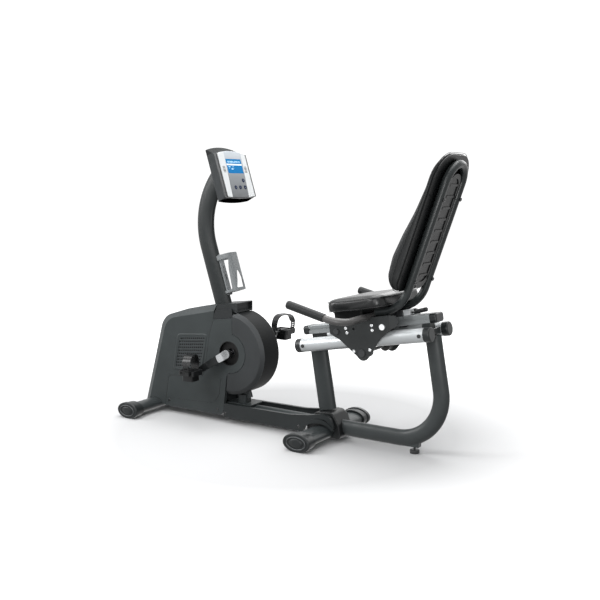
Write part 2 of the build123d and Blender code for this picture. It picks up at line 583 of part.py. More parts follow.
# ---------------------------------------------------------------- drive train
def make_inner_frame():
    """Column from the base beam to the mast, crank shell, flywheel forks and neck."""
    low, corner, _ = mast_points()
    up = (Vector(*corner) - Vector(*low)).normalized()
    foot = Vector(*low) - up * 385
    column = swept([tuple(foot), low], None, ring_section((60, 30), 3))
    column -= Pos(0, 0, -2) * (Plane(origin=(-900, 0, BEAM_Z), z_dir=(1, 0, 0)) * extrude(
        Circle(BEAM_RADIUS), amount=1200))
    barrel = rod(23, -34, 34, CRANK_X, CRANK_Z)
    strut = prism(outline([(-300, 340, 0), (-275, 330, 0), (-276, 372, 0), (-320, 380, 0)]), -12, 12)
    flange = Pos(-236, 0, 97) * extrude(RectangleRounded(148, 96, 6), amount=6)
    web = prism(outline([(-262, 140, 0), (-210, 140, 0), (-258, 345, 0), (-300, 345, 0)]), -4, 4)
    neck = Pos(-236, 0, 102) * extrude(RectangleRounded(54, 52, 12), amount=40)
    frame = column + barrel + strut + neck + flange + web
    fork = outline([
        (FLYWHEEL_X - 40, 96, 4), (FLYWHEEL_X + 40, 96, 4), (FLYWHEEL_X + 16, FLYWHEEL_Z + 18, 14),
        (FLYWHEEL_X - 16, FLYWHEEL_Z + 18, 14)])
    forks = prism(fork, 50, 54) + prism(fork, -32, -28)
    forks += Pos(FLYWHEEL_X, 11, 94) * Box(80, 86, 5)
    forks -= Plane(origin=(-900, 0, BEAM_Z), z_dir=(1, 0, 0)) * extrude(Circle(BEAM_RADIUS), amount=900)
    axle = rod(8, -36, 58, FLYWHEEL_X, FLYWHEEL_Z)
    frame -= rod(16, -40, 40, CRANK_X, CRANK_Z)
    save("inner_frame", frame, forks + axle)
    bearings = [rod(16, y, y + 10, CRANK_X, CRANK_Z, 10 + RUN_CLEARANCE) for y in (-34, 24)]
    save("crank_bearings", *bearings)


def make_drive():
    """Crank spindle with its pulley, and the belt that drives the flywheel."""
    y_low, y_high = BELT_Y - BELT_WIDTH / 2, BELT_Y + BELT_WIDTH / 2
    spindle = rod(10, -88, 88, CRANK_X, CRANK_Z)
    pulley = rod(PULLEY_RADIUS, y_low, y_high, CRANK_X, CRANK_Z, 10)
    for index in range(5):
        angle = radians(72 * index)
        pulley -= rod(22, y_low - 1, y_high + 1, CRANK_X + 66 * cos(angle), CRANK_Z + 66 * sin(angle))
    save("crank_spindle", spindle + pulley)

    wheel = rod(FLYWHEEL_RADIUS, -20, 10, FLYWHEEL_X, FLYWHEEL_Z, 8 + RUN_CLEARANCE)
    wheel -= rod(80, 0, 11, FLYWHEEL_X, FLYWHEEL_Z, 30)
    wheel += rod(14, 9, y_high, FLYWHEEL_X, FLYWHEEL_Z, 8 + RUN_CLEARANCE)
    wheel += rod(FLYWHEEL_PULLEY_RADIUS, y_low, y_high, FLYWHEEL_X, FLYWHEEL_Z, 8 + RUN_CLEARANCE)
    save("flywheel", wheel)
    save("drive_belt", belt_solid(y_low + 1, y_high - 1))


def belt_solid(y_low, y_high):
    """Loop round both pulleys, clear of them by a running gap."""
    gap = 0.4
    dx, dz = FLYWHEEL_X - CRANK_X, FLYWHEEL_Z - CRANK_Z
    span, heading = sqrt(dx * dx + dz * dz), degrees(atan2(dz, dx))

    def loop(grow):
        big, small = PULLEY_RADIUS + grow, FLYWHEEL_PULLEY_RADIUS + grow
        lean = asin((big - small) / span)
        s, c = sin(lean), cos(lean)
        band = make_face(Polyline(
            (big * s, big * c), (span + small * s, small * c),
            (span + small * s, -small * c), (big * s, -big * c), close=True))
        return band + Circle(big) + Pos(span, 0) * Circle(small)

    sketch = Rot(0, 0, heading) * (loop(gap + BELT_THICKNESS) - loop(gap))
    return prism(sketch, y_low, y_high, CRANK)


def make_cranks():
    """Each arm bows outwards from the spindle to the pedal axle, which screws into its end."""
    for name, side, turn in (("left", -1, 180 + CRANK_ANGLE), ("right", 1, CRANK_ANGLE)):
        arm = crank_arm(side, turn)
        save(f"crank_arm_{name}", arm)
        x = CRANK_X + CRANK_LENGTH * cos(radians(turn))
        z = CRANK_Z + CRANK_LENGTH * sin(radians(turn))
        save(f"pedal_{name}", *pedal_body(side, x, z))
        save(f"pedal_strap_{name}", pedal_strap(side, x, z))


def crank_arm(side, turn):
    """Forged arm: boss on the spindle, tapered blade set outwards, boss for the axle."""
    plane = Plane(origin=(0, 0, 0), x_dir=(1, 0, 0), z_dir=(0, 0, 1))
    top = make_face(FilletPolyline(
        (-22, 80), (30, 80), (120, 108), (186, 108), (186, 124), (116, 124), (26, 98), (-22, 98),
        radius=[0, 30, 30, 0, 0, 30, 30, 0], close=True))
    blade = extrude(plane * top, amount=22, both=True)
    shape = make_face(Polyline((-30, -21), (0, -21), (165, -15), (190, -15), (190, 15), (165, 15),
                               (0, 21), (-30, 21), close=True))
    shape = fillet(shape.vertices().filter_by(lambda v: abs(v.X) < 1 or abs(v.X - 165) < 1), 40)
    ends = Circle(21) + Pos(165, 0) * Circle(15) + (shape & Pos(82.5, 0) * Rectangle(165, 60))
    blade &= Plane.XZ.offset(0) * extrude(ends, amount=-130)
    blade = blade if side > 0 else mirror(blade, about=Plane.XZ)
    axle_low, axle_high = sorted((side * 110, side * 236))
    axle = prism(Pos(165, 0) * Circle(7), axle_low, axle_high)
    arm = blade + axle
    hole_low, hole_high = sorted((side * 70, side * 88))
    arm -= prism(Circle(10), hole_low, hole_high)
    return Pos(CRANK_X, 0, CRANK_Z) * (Rot(0, -turn, 0) * arm)


def pedal_body(side, x, z):
    """Platform pedal: centre sleeve, front and rear rails with ribs, two side cages."""
    frame = RectangleRounded(92, 78, 10) - RectangleRounded(74, 60, 6)
    slab = extrude(frame, amount=24)
    sleeve = Pos(0, 0, 12) * Rot(90, 0, 0) * Cylinder(14, 62)
    body = slab + sleeve
    for dx in (-26, 26):
        body += Pos(dx, 0, 12) * Box(6, 66, 16)
    body -= Pos(0, 0, 12) * Rot(90, 0, 0) * Cylinder(7 + RUN_CLEARANCE, 120)
    for dx in (-28, -14, 14, 28):
        body -= Pos(dx, 0, 12) * Box(7, 90, 9)
    keel = Pos(0, 0, -14) * Box(62, 58, 30)
    body += fillet(keel.edges().filter_by(Axis.Z), 8)
    return [Pos(x, side * PEDAL_Y, z - 12) * body]


def pedal_strap(side, x, z):
    """Band over the foot, set askew: its slotted outer leg stands behind its inner leg."""
    band = FilletPolyline((-52, -6), (-60, 34), (-44, 84), (42, 85), (61, 36), (52, -6),
                          radius=[40, 40, 40, 40])
    edge = Plane(origin=(STRAP_WIDTH / 2, 0, 0), x_dir=(0, 1, 0), z_dir=(1, 0, 0))
    strap = extrude(edge * make_face(offset(band, 2.0, side=Side.BOTH)), amount=-STRAP_WIDTH)
    for end in (-1, 1):
        strap -= Pos(end * STRAP_WIDTH / 2, 60, 18) * Box(14, 30, 52)
    for height in (18, 27, 36):
        strap -= Pos(0, 60, height) * Box(17, 20, 4)
    strap = Rot(0, 0, -STRAP_SKEW) * strap
    strap -= Pos(0, 0, -2) * Box(120, 78.4, 30)
    for end in (-1, 1):
        strap += Pos(end * 16, end * 47.2, 0) * Box(36, 16, 18)
    strap -= Rot(90, 0, 0) * Cylinder(9, 80, align=(Align.CENTER, Align.CENTER, Align.MIN))
    strap = max(strap.solids(), key=lambda s: s.volume)
    strap = strap if side > 0 else mirror(strap, about=Plane.XZ)
    return Pos(x, side * PEDAL_Y, z) * strap


# ---------------------------------------------------------------- seat carriage
def plate_outline():
    """Side plate in rail coordinates: level top, and a nose that holds the lower rollers."""
    return outline([
        (-127, PLATE_TOP, 6), (-130, 44, 10), (-86, 18, 26), (-10, -62, 12),
        (17, -100, 30), (58, -62, 12), (116, 4, 26), (168, 38, 14), (168, PLATE_TOP, 0),
    ])


def make_side_plates():
    left = prism(plate_outline(), -PLATE_Y, -PLATE_Y + PLATE_THICKNESS, RAIL)
    wing = prism(outline([(0, 38.5, 0), (0, PLATE_TOP, 0), (34, PLATE_TOP - 4, 12), (44, 70, 10),
                          (32, 48, 12)]), 0, PLATE_THICKNESS, Plane.XZ)
    hinge_x, hinge_z = rail_point(166, 0)
    wing = Pos(hinge_x, -PLATE_Y, hinge_z) * (Rot(0, -RAIL_ANGLE, 0) * (Rot(0, 0, 38) * wing))
    left += wing
    left -= handlebar_solid(0.0)
    holes = [(-6.9, 57.1, 6.0)]
    for u in UPPER_ROLLERS_U:
        holes.append((u, UPPER_ROLLER_W, AXLE_RADIUS))
    holes.append((LOWER_ROLLER_U, LOWER_ROLLER_W, AXLE_RADIUS))
    for u, w, r in holes:
        left -= prism(Pos(u, w) * Circle(r), -PLATE_Y - 20, -PLATE_Y + 20, RAIL)
    for u, w in PLATE_SCREWS:
        left -= prism(Pos(u, w) * Circle(4), -PLATE_Y - 20, -PLATE_Y + 20, RAIL)
    save("side_plate_left", left)
    save("side_plate_right", mirrored(left))


PLATE_SCREWS = [(-44.6, 63), (-41.5, 43), (84.6, 65), (84.4, 44), (-19.4, -40), (59.9, -39.5)]


def roller(u, w):
    """Grooved roller for one seat tube; its waist follows the tube's round top or underside."""
    reach = abs(w)
    points = []
    steps = 8
    for index in range(steps + 1):
        across = -18 + 36 * index / steps
        hug = sqrt((SEAT_TUBE_RADIUS + ROLLER_GAP) ** 2 - across * across)
        points.append((across, reach - hug))
    groove = Spline(*points)
    side = Polyline((18, groove.position_at(1).Y), (18, AXLE_RADIUS + RUN_CLEARANCE),
                    (-18, AXLE_RADIUS + RUN_CLEARANCE), (-18, groove.position_at(0).Y))
    face = make_face(groove + side)
    x, z = rail_point(u, w)
    plane = Plane(origin=(x, 0, z), x_dir=(0, 1, 0), z_dir=(1, 0, 0))
    wheel = revolve(plane * face, Axis((x, 0, z), (0, 1, 0)))
    return [Pos(0, side * SEAT_TUBE_Y, 0) * wheel for side in (-1, 1)]


def make_rollers():
    for name, u in zip(("front_rollers", "rear_rollers"), UPPER_ROLLERS_U):
        save(name, *roller(u, UPPER_ROLLER_W))
    save("lower_rollers", *roller(LOWER_ROLLER_U, LOWER_ROLLER_W))
    axles = []
    for u in UPPER_ROLLERS_U:
        x, z = rail_point(u, UPPER_ROLLER_W)
        stub = rod(AXLE_RADIUS, -PLATE_Y - 6, -72, x, z)
        stub += rod(13, -PLATE_Y - 6, -PLATE_Y, x, z)
        stub += rod(10, -PLATE_Y + PLATE_THICKNESS, -113, x, z)
        axles += [stub, mirrored(stub)]
    x, z = rail_point(LOWER_ROLLER_U, LOWER_ROLLER_W)
    through = rod(AXLE_RADIUS, -PLATE_Y - 5, PLATE_Y + 5, x, z)
    for side in (-1, 1):
        low, high = sorted((side * (PLATE_Y + 5), side * PLATE_Y))
        through += rod(16, low, high, x, z)
        low, high = sorted((side * (PLATE_Y - PLATE_THICKNESS), side * 113))
        through += rod(10, low, high, x, z)
        low, high = sorted((side * 75.5, side * 60))
        through += rod(10, low, high, x, z)
    save("roller_axles", *axles, through)


def handlebar_points():
    left = [(236, -314, 659.6), (497, -312, 595.5), (524, -170, 606)]
    right = [(x, -y, z) for x, y, z in reversed(left)]
    return left + right


def handlebar_solid(hollow):
    points = handlebar_points()
    section = Circle(HANDLE_RADIUS) - Circle(hollow) if hollow else Circle(HANDLE_RADIUS)
    path = FilletPolyline(*points, radius=[84, 150, 150, 84])
    wire = Wire(path.edges())
    return sweep(Plane(origin=wire @ 0, z_dir=wire % 0) * section, path=wire)


def make_handlebar():
    save("handlebar", handlebar_solid(HANDLE_RADIUS - 2.5))
    start, corner = [Vector(*p) for p in handlebar_points()[:2]]
    along = (corner - start).normalized()
    plane = Plane(origin=start - along * 4, z_dir=along)
    grip = Cylinder(GRIP_RADIUS, GRIP_LENGTH, align=(Align.CENTER, Align.CENTER, Align.MIN))
    grip = fillet(grip.faces().sort_by(Axis.Z)[0].edges(), 8)
    grip -= Pos(0, 0, 4) * Cylinder(
        HANDLE_RADIUS, GRIP_LENGTH, align=(Align.CENTER, Align.CENTER, Align.MIN))
    left = plane * grip
    save("hand_grips", left, mirrored(left))


def seat_plane(u, w):
    """Plane parallel to the seat, local x rearwards along it and local z up through it."""
    x, z = rail_point(u, w)
    return Plane(origin=(x, 0, z), x_dir=(cos(TILT), 0, sin(TILT)),
                 z_dir=(-sin(TILT), 0, cos(TILT)))


def make_seat_base():
    """Steel deck between the side plates, seat pan and cushion."""
    deck = prism(Pos(117, PLATE_TOP - 2) * Rectangle(62, 4), -132, 132, RAIL)
    deck += prism(Pos(-90, PLATE_TOP - 2) * Rectangle(70, 4), -132, 132, RAIL)
    save("seat_deck", deck)

    u0, u1 = CUSHION_U
    pan_low = BACK_TUBE_W + BACK_TUBE_RADIUS + 0.2
    plan = RectangleRounded(u1 - u0 - 34, 2 * CUSHION_HALF - 60, 40)
    plate = seat_plane((u0 + u1) / 2, pan_low) * extrude(plan, amount=CUSHION_W[0] - pan_low)
    skirt = RectangleRounded(148, 242, 14) - RectangleRounded(138, 232, 9)
    plate += seat_plane(-35, PLATE_TOP) * extrude(skirt, amount=pan_low - PLATE_TOP)
    save("seat_pan", plate - back_tube_solid(BACK_TUBE_RADIUS + 0.3))

    plan = RectangleRounded(u1 - u0, 2 * CUSHION_HALF, 56)
    cushion = extrude(plan, amount=CUSHION_W[1] - CUSHION_W[0])
    cushion = fillet(cushion.faces().sort_by(Axis.Z)[-1].edges(), 18)
    base = seat_plane((u0 + u1) / 2, CUSHION_W[0] + 0.2)
    save("seat_cushion", base * cushion - back_tube_solid(BACK_TUBE_RADIUS + 1.5))


def back_tube_points():
    """Left leg: forward run on the deck, bend, and the leg up to the top arch."""
    slope = BACK_SLOPE
    run = [rail_point(86, BACK_TUBE_W)]
    x0, z0 = rail_point(0, BACK_TUBE_W)
    u = ((BACK_X - slope * BACK_Z + slope * z0) - x0) / (cos(TILT) - slope * sin(TILT))
    run.append(rail_point(u, BACK_TUBE_W))
    top = back_point(560, 0)
    return run + [top]


def back_tube_solid(radius, hollow=0.0):
    """The back tube: forward run, bend, leg, top arch, and the same down the other side."""
    (x0, z0), (x1, z1), (x2, z2) = back_tube_points()
    y = BACK_TUBE_Y
    points = [(x0, -y, z0), (x1, -y, z1), (x2, -y, z2), (x2, y, z2), (x1, y, z1), (x0, y, z0)]
    path = FilletPolyline(*points, radius=[140, y - 0.5, y - 0.5, 140])
    wire = Wire(path.edges())
    section = Circle(radius) - Circle(hollow) if hollow else Circle(radius)
    return sweep(Plane(origin=wire @ 0, z_dir=wire % 0) * section, path=wire)


def make_back_frame():
    frame = back_tube_solid(BACK_TUBE_RADIUS, BACK_TUBE_RADIUS - 2)
    for bolt in back_bolt_planes():
        frame -= bolt * Cylinder(BACK_BOLT_RADIUS, 4 * BACK_TUBE_RADIUS)
    save("back_frame", frame)


def back_bolt_planes():
    """Seats of the four bolts through the legs into the back shell, pointing rearwards."""
    planes = []
    for along in (50, 413):
        x, z = back_point(along, -BACK_TUBE_RADIUS)
        for y in (-BACK_TUBE_Y, BACK_TUBE_Y):
            planes.append(Plane(origin=(x, y, z), x_dir=(0, 1, 0),
                                z_dir=(cos(BACK_LEAN), 0, -sin(BACK_LEAN))))
    return planes


def back_slab(half, low, high, corner, n0, n1, foot=None):
    """Rounded slab parallel to the back frame, from n0 to n1 in front of its centre line."""
    foot = foot or corner
    plan = outline([(low, -half, foot), (high, -half, corner), (high, half, corner),
                    (low, half, foot)])
    x, z = back_point(0, n0)
    plane = Plane(origin=(x, 0, z), x_dir=(sin(BACK_LEAN), 0, cos(BACK_LEAN)),
                  z_dir=(-cos(BACK_LEAN), 0, sin(BACK_LEAN)))
    return plane * extrude(plan, amount=n1 - n0)


def make_backrest():
    gap = BACK_TUBE_RADIUS + 0.3
    shell = back_slab(BACK_HALF - 8, -2, 592, 110, gap, gap + 3.5, 50)
    shell += back_slab(60, 10, 520, 56, -6, gap)
    pocket = back_slab(44, 40, 500, 40, -7, -2)
    ribs = Part() + [
        back_slab(38, 66 + index * 50, 76 + index * 50, 4, -6, -2) for index in range(9)
    ]
    save("back_shell", shell - pocket + ribs)

    front = gap + 3.7
    side = make_face(
        Line((-10, front), (598, front))
        + Spline((598, front), (592, 31), (540, 38), (448, 38), (337, 50), (231, 70), (130, 82),
                 (50, 76), (0, 56), (-10, front)))
    pad = prism(side, -BACK_HALF, BACK_HALF, BACK)
    pad &= back_slab(BACK_HALF, -10, 600, 118, 0, 130, 58)
    save("back_cushion", pad)


def make_lock():
    """Seat lock: black housing on the deck, light block, and a sprung lever at the rear."""
    low = PROFILE_W + PROFILE_HALF_H + 1.5
    housing = prism(Pos(165, (low + 107) / 2) * RectangleRounded(32, 107 - low, 3), -32, 32, RAIL)
    block = prism(Pos(197.5, (low + 107) / 2) * RectangleRounded(33, 107 - low, 2), -19, 19, RAIL)
    slot = prism(Pos(203, 94) * Rectangle(26, 19), -8, 8, RAIL)
    pin_x, pin_z = rail_point(200, 93)
    block -= slot
    block += rod(3, -10, 10, pin_x, pin_z)
    save("lock_housing", housing)
    save("lock_block", block)
    arm = prism(outline([(194, 88, 4), (194, 97, 4), (206, 97, 2), (232, 95, 0), (232, 90, 0),
                         (206, 88, 2)]), -6, 6, RAIL)
    arm -= rod(3 + RUN_CLEARANCE, -12, 12, pin_x, pin_z)
    x, z = rail_point(230, 94)
    aim = radians(RAIL_ANGLE + 6)
    knob = Plane(origin=(x, 0, z), z_dir=(cos(aim), 0, sin(aim))) * Cylinder(
        9.5, 58, align=(Align.CENTER, Align.CENTER, Align.MIN))
    knob = fillet(knob.edges().filter_by(GeomType.CIRCLE), 4)
    save("lock_lever", arm + knob)


# ---------------------------------------------------------------- fasteners
def screw(radius, head, length):
    """Button-head screw along +Z, head top at z = 0."""
    body = Pos(0, 0, -head / 2) * Cylinder(radius * 1.9, head)
    body = fillet(body.faces().sort_by(Axis.Z)[-1].edges(), head * 0.4)
    body += Pos(0, 0, -head - length / 2) * Cylinder(radius, length)
    return body - Pos(0, 0, -head * 0.25) * extrude(RegularPolygon(radius * 0.9, 6), amount=head)


def screws_left_and_right(places, radius, head, length, y_face):
    """Screws driven into both sides of the bike at (x, z) places."""
    out = []
    for x, z in places:
        left = Plane(origin=(x, -y_face, z), x_dir=(1, 0, 0), z_dir=(0, -1, 0)) * screw(
            radius, head, length)
        out += [left, mirrored(left)]
    return out


def make_fasteners():
    seated = screws_left_and_right(
        [rail_point(u, w) for u, w in PLATE_SCREWS], BOLT_RADIUS, 4.2, 9, PLATE_Y + 4.3)
    for plane in back_bolt_planes():
        seated.append(plane * (Pos(0, 0, 6) * screw(BACK_BOLT_RADIUS, 6, 2 * BACK_TUBE_RADIUS - 2)))
    save("carriage_screws", *seated)

    low = [(CRANK_X - 24, 50), (REAR_BAR_X - 118, 50)]
    seated = screws_left_and_right(low, 3.8, 4, 8, HOUSING_HALF + 5)
    seated += screws_left_and_right([(-668, 66), (CRANK_X - 76, 62)], 3.8, 4, 8, HOUSING_HALF + 2)
    for end in (-1, 1):
        place = rail_point(end * (SEAT_TUBE_HALF - SEAT_TUBE_CAP - 16), 0)
        seated += screws_left_and_right([place], 4.5, 4, 8, SEAT_TUBE_Y + SEAT_TUBE_RADIUS + 4.1)
    save("frame_screws", *seated)


BUILDERS = [
    make_crossbars, make_base_beam, make_posts, make_hub, make_skirts, make_rear_foot,
    make_rails, make_front_shells, make_grilles, make_side_panels,
    make_round_covers, make_top_cap, make_mast, make_bottle_cage, make_console,
    make_inner_frame, make_drive, make_cranks, make_side_plates, make_rollers, make_handlebar,
    make_seat_base, make_back_frame, make_backrest, make_lock, make_fasteners,
]

for builder in BUILDERS:
    builder()
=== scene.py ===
"""Recumbent exercise bike: finishes, padding, trim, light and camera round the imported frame."""
import json
import math
import bmesh
import bpy
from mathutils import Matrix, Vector


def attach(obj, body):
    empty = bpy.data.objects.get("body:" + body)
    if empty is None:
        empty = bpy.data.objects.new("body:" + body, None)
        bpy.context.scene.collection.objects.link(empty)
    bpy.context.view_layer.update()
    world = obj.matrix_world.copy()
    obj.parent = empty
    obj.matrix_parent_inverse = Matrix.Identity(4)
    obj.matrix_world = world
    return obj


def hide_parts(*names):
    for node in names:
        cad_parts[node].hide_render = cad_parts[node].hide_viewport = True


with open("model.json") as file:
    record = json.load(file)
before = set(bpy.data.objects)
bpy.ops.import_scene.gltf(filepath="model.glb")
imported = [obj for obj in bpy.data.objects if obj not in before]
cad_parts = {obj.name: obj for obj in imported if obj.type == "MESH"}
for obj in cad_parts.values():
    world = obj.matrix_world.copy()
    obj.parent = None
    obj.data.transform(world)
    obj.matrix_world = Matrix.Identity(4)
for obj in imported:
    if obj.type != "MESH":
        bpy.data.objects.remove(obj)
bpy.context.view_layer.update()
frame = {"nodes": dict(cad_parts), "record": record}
NODES = frame["nodes"]

# ------------------------------------------------------------------ frame geometry, metres
CENTRE_X = 0.0202
RAIL_ORIGIN = Vector((0.4754 - CENTRE_X, 0, 0.49475))
RAIL_SLOPE = math.radians(9.8)
RAIL_U = Vector((math.cos(RAIL_SLOPE), 0, math.sin(RAIL_SLOPE)))
RAIL_W = Vector((-math.sin(RAIL_SLOPE), 0, math.cos(RAIL_SLOPE)))
BACK_ORIGIN = Vector((0.690 - CENTRE_X, 0, 0.722))
BACK_LEAN = math.atan(0.348)
BACK_L = Vector((math.sin(BACK_LEAN), 0, math.cos(BACK_LEAN)))
BACK_N = Vector((-math.cos(BACK_LEAN), 0, math.sin(BACK_LEAN)))
PANEL_ORIGIN = Vector((-0.2745 - CENTRE_X, 0, 1.2215))
PANEL_TILT = math.radians(17.4)
PANEL_UP = Vector((-math.sin(PANEL_TILT), 0, math.cos(PANEL_TILT)))
PANEL_OUT = Vector((math.cos(PANEL_TILT), 0, math.sin(PANEL_TILT)))
ACROSS = Vector((0, 1, 0))
CRANK = Vector((-0.275 - CENTRE_X, 0, 0.3525))
PANEL_CROWN, PANEL_FOOT = 0.108, -0.1165
PLATE_FACE = 0.131
RECESS_RADIUS, BOSS_HIGHLIGHT_RADIUS, AXLE_RADIUS = 0.0602, 0.058, 0.02
KEY_MARK = 0.0016
KEY_PLACES = ((0.042, -0.032), (-0.030, -0.067), (0.006, -0.067), (0.044, -0.067))


def rail(u, w, y=0.0):
    return RAIL_ORIGIN + RAIL_U * u + RAIL_W * w + ACROSS * y


def back(l, n, y=0.0):
    return BACK_ORIGIN + BACK_L * l + BACK_N * n + ACROSS * y


def panel(v, h, n=0.0):
    return PANEL_ORIGIN + ACROSS * v + PANEL_UP * h + PANEL_OUT * n


# ------------------------------------------------------------------ materials
class Nodes:
    """Small helper round one material's node tree."""

    def __init__(self, name):
        self.material = bpy.data.materials.new(name)
        self.material.use_nodes = True
        self.tree = self.material.node_tree
        self.shader = self.tree.nodes["Principled BSDF"]
        self.coords = self.add("ShaderNodeTexCoord").outputs["Object"]

    def add(self, kind, **values):
        node = self.tree.nodes.new(kind)
        for key, value in values.items():
            setattr(node, key, value)
        return node

    def link(self, source, target):
        self.tree.links.new(source, target)

    def noise(self, scale, detail=3.0, roughness=0.5, stretch=None):
        node = self.add("ShaderNodeTexNoise")
        node.inputs["Scale"].default_value = scale
        node.inputs["Detail"].default_value = detail
        node.inputs["Roughness"].default_value = roughness
        coords = self.coords
        if stretch:
            mapping = self.add("ShaderNodeMapping")
            mapping.inputs["Scale"].default_value = stretch
            self.link(coords, mapping.inputs["Vector"])
            coords = mapping.outputs["Vector"]
        self.link(coords, node.inputs["Vector"])
        return node.outputs["Fac"]

    def remap(self, value, low, high, start=0.3, end=0.7):
        node = self.add("ShaderNodeMapRange")
        self.link(value, node.inputs["Value"])
        node.inputs["From Min"].default_value = start
        node.inputs["From Max"].default_value = end
        node.inputs["To Min"].default_value = low
        node.inputs["To Max"].default_value = high
        return node.outputs["Result"]

    def mix(self, fac, a, b):
        node = self.add("ShaderNodeMix", data_type="RGBA")
        for socket, value in ((node.inputs["Factor"], fac), (node.inputs[6], a), (node.inputs[7], b)):
            if isinstance(value, bpy.types.NodeSocket):
                self.link(value, socket)
            else:
                socket.default_value = value
        return node.outputs[2]

    def math(self, operation, a, b=0.0):
        node = self.add("ShaderNodeMath", operation=operation)
        for socket, value in zip(node.inputs, (a, b)):
            if isinstance(value, bpy.types.NodeSocket):
                self.link(value, socket)
            else:
                socket.default_value = value
        return node.outputs[0]

    def within(self, value, low, high):
        """1 where a value lies between two limits."""
        return self.math("MULTIPLY", self.math("GREATER_THAN", value, low),
                         self.math("LESS_THAN", value, high))

    def radius(self, direction, other, origin):
        """Distance from an axis, in the plane of two directions."""
        a, b = self.along(direction, origin), self.along(other, origin)
        return self.math("SQRT", self.math("ADD", self.math("MULTIPLY", a, a),
                                           self.math("MULTIPLY", b, b)))

    def along(self, direction, origin=(0, 0, 0)):
        """Distance of the surface point along a direction from an origin."""
        shift = self.add("ShaderNodeVectorMath", operation="SUBTRACT")
        self.link(self.coords, shift.inputs[0])
        shift.inputs[1].default_value = origin
        dot = self.add("ShaderNodeVectorMath", operation="DOT_PRODUCT")
        self.link(shift.outputs[0], dot.inputs[0])
        dot.inputs[1].default_value = direction
        return dot.outputs["Value"]

    def bump(self, height, strength, distance, base=None):
        node = self.add("ShaderNodeBump")
        node.inputs["Strength"].default_value = strength
        node.inputs["Distance"].default_value = distance
        self.link(height, node.inputs["Height"])
        if base:
            self.link(base, node.inputs["Normal"])
        self.link(node.outputs["Normal"], self.shader.inputs["Normal"])
        return node.outputs["Normal"]

    def set(self, **values):
        for key, value in values.items():
            self.shader.inputs[key.replace("_", " ")].default_value = value


def shade(color, factor):
    return tuple(min(1.0, c * factor) for c in color) + (1.0,)


def surface(name, color, rough, grain=1400.0, relief=0.25, depth=0.00012, vary=0.12, metallic=0.0,
            specular=0.3, coat=0.0):
    """Moulded, painted or machined finish: slow colour drift, roughness drift and a fine grain."""
    m = Nodes(name)
    m.set(Metallic=metallic, Specular_IOR_Level=specular, Coat_Weight=coat, Coat_Roughness=0.2)
    drift = m.noise(9.0, 4.0, 0.55)
    m.link(m.mix(m.remap(drift, 0.0, 1.0), shade(color, 1 - vary), shade(color, 1 + vary)),
           m.shader.inputs["Base Color"])
    m.link(m.remap(m.noise(38.0, 5.0, 0.6), rough - 0.05, rough + 0.05), m.shader.inputs["Roughness"])
    m.bump(m.noise(grain, 2.0), relief, depth)
    return m.material


def leather(name, color, rough, gloss):
    """Upholstery vinyl: small pebbled cells, soft creases and a light sheen."""
    m = Nodes(name)
    m.set(Specular_IOR_Level=0.25, Coat_Weight=gloss, Coat_Roughness=0.2)
    cells = m.add("ShaderNodeTexVoronoi", feature="SMOOTH_F1")
    cells.inputs["Scale"].default_value = 620.0
    cells.inputs["Smoothness"].default_value = 0.7
    m.link(m.coords, cells.inputs["Vector"])
    fine = m.noise(1500.0, 2.0)
    creases = m.noise(24.0, 5.0, 0.6)
    m.link(m.mix(m.remap(creases, 0.0, 1.0), shade(color, 0.82), shade(color, 1.2)),
           m.shader.inputs["Base Color"])
    m.link(m.remap(cells.outputs["Distance"], rough - 0.05, rough + 0.1, 0.0, 0.7),
           m.shader.inputs["Roughness"])
    first = m.bump(cells.outputs["Distance"], 0.2, 0.00015)
    second = m.bump(fine, 0.1, 0.00005, first)
    m.bump(creases, 0.15, 0.0005, second)
    return m.material


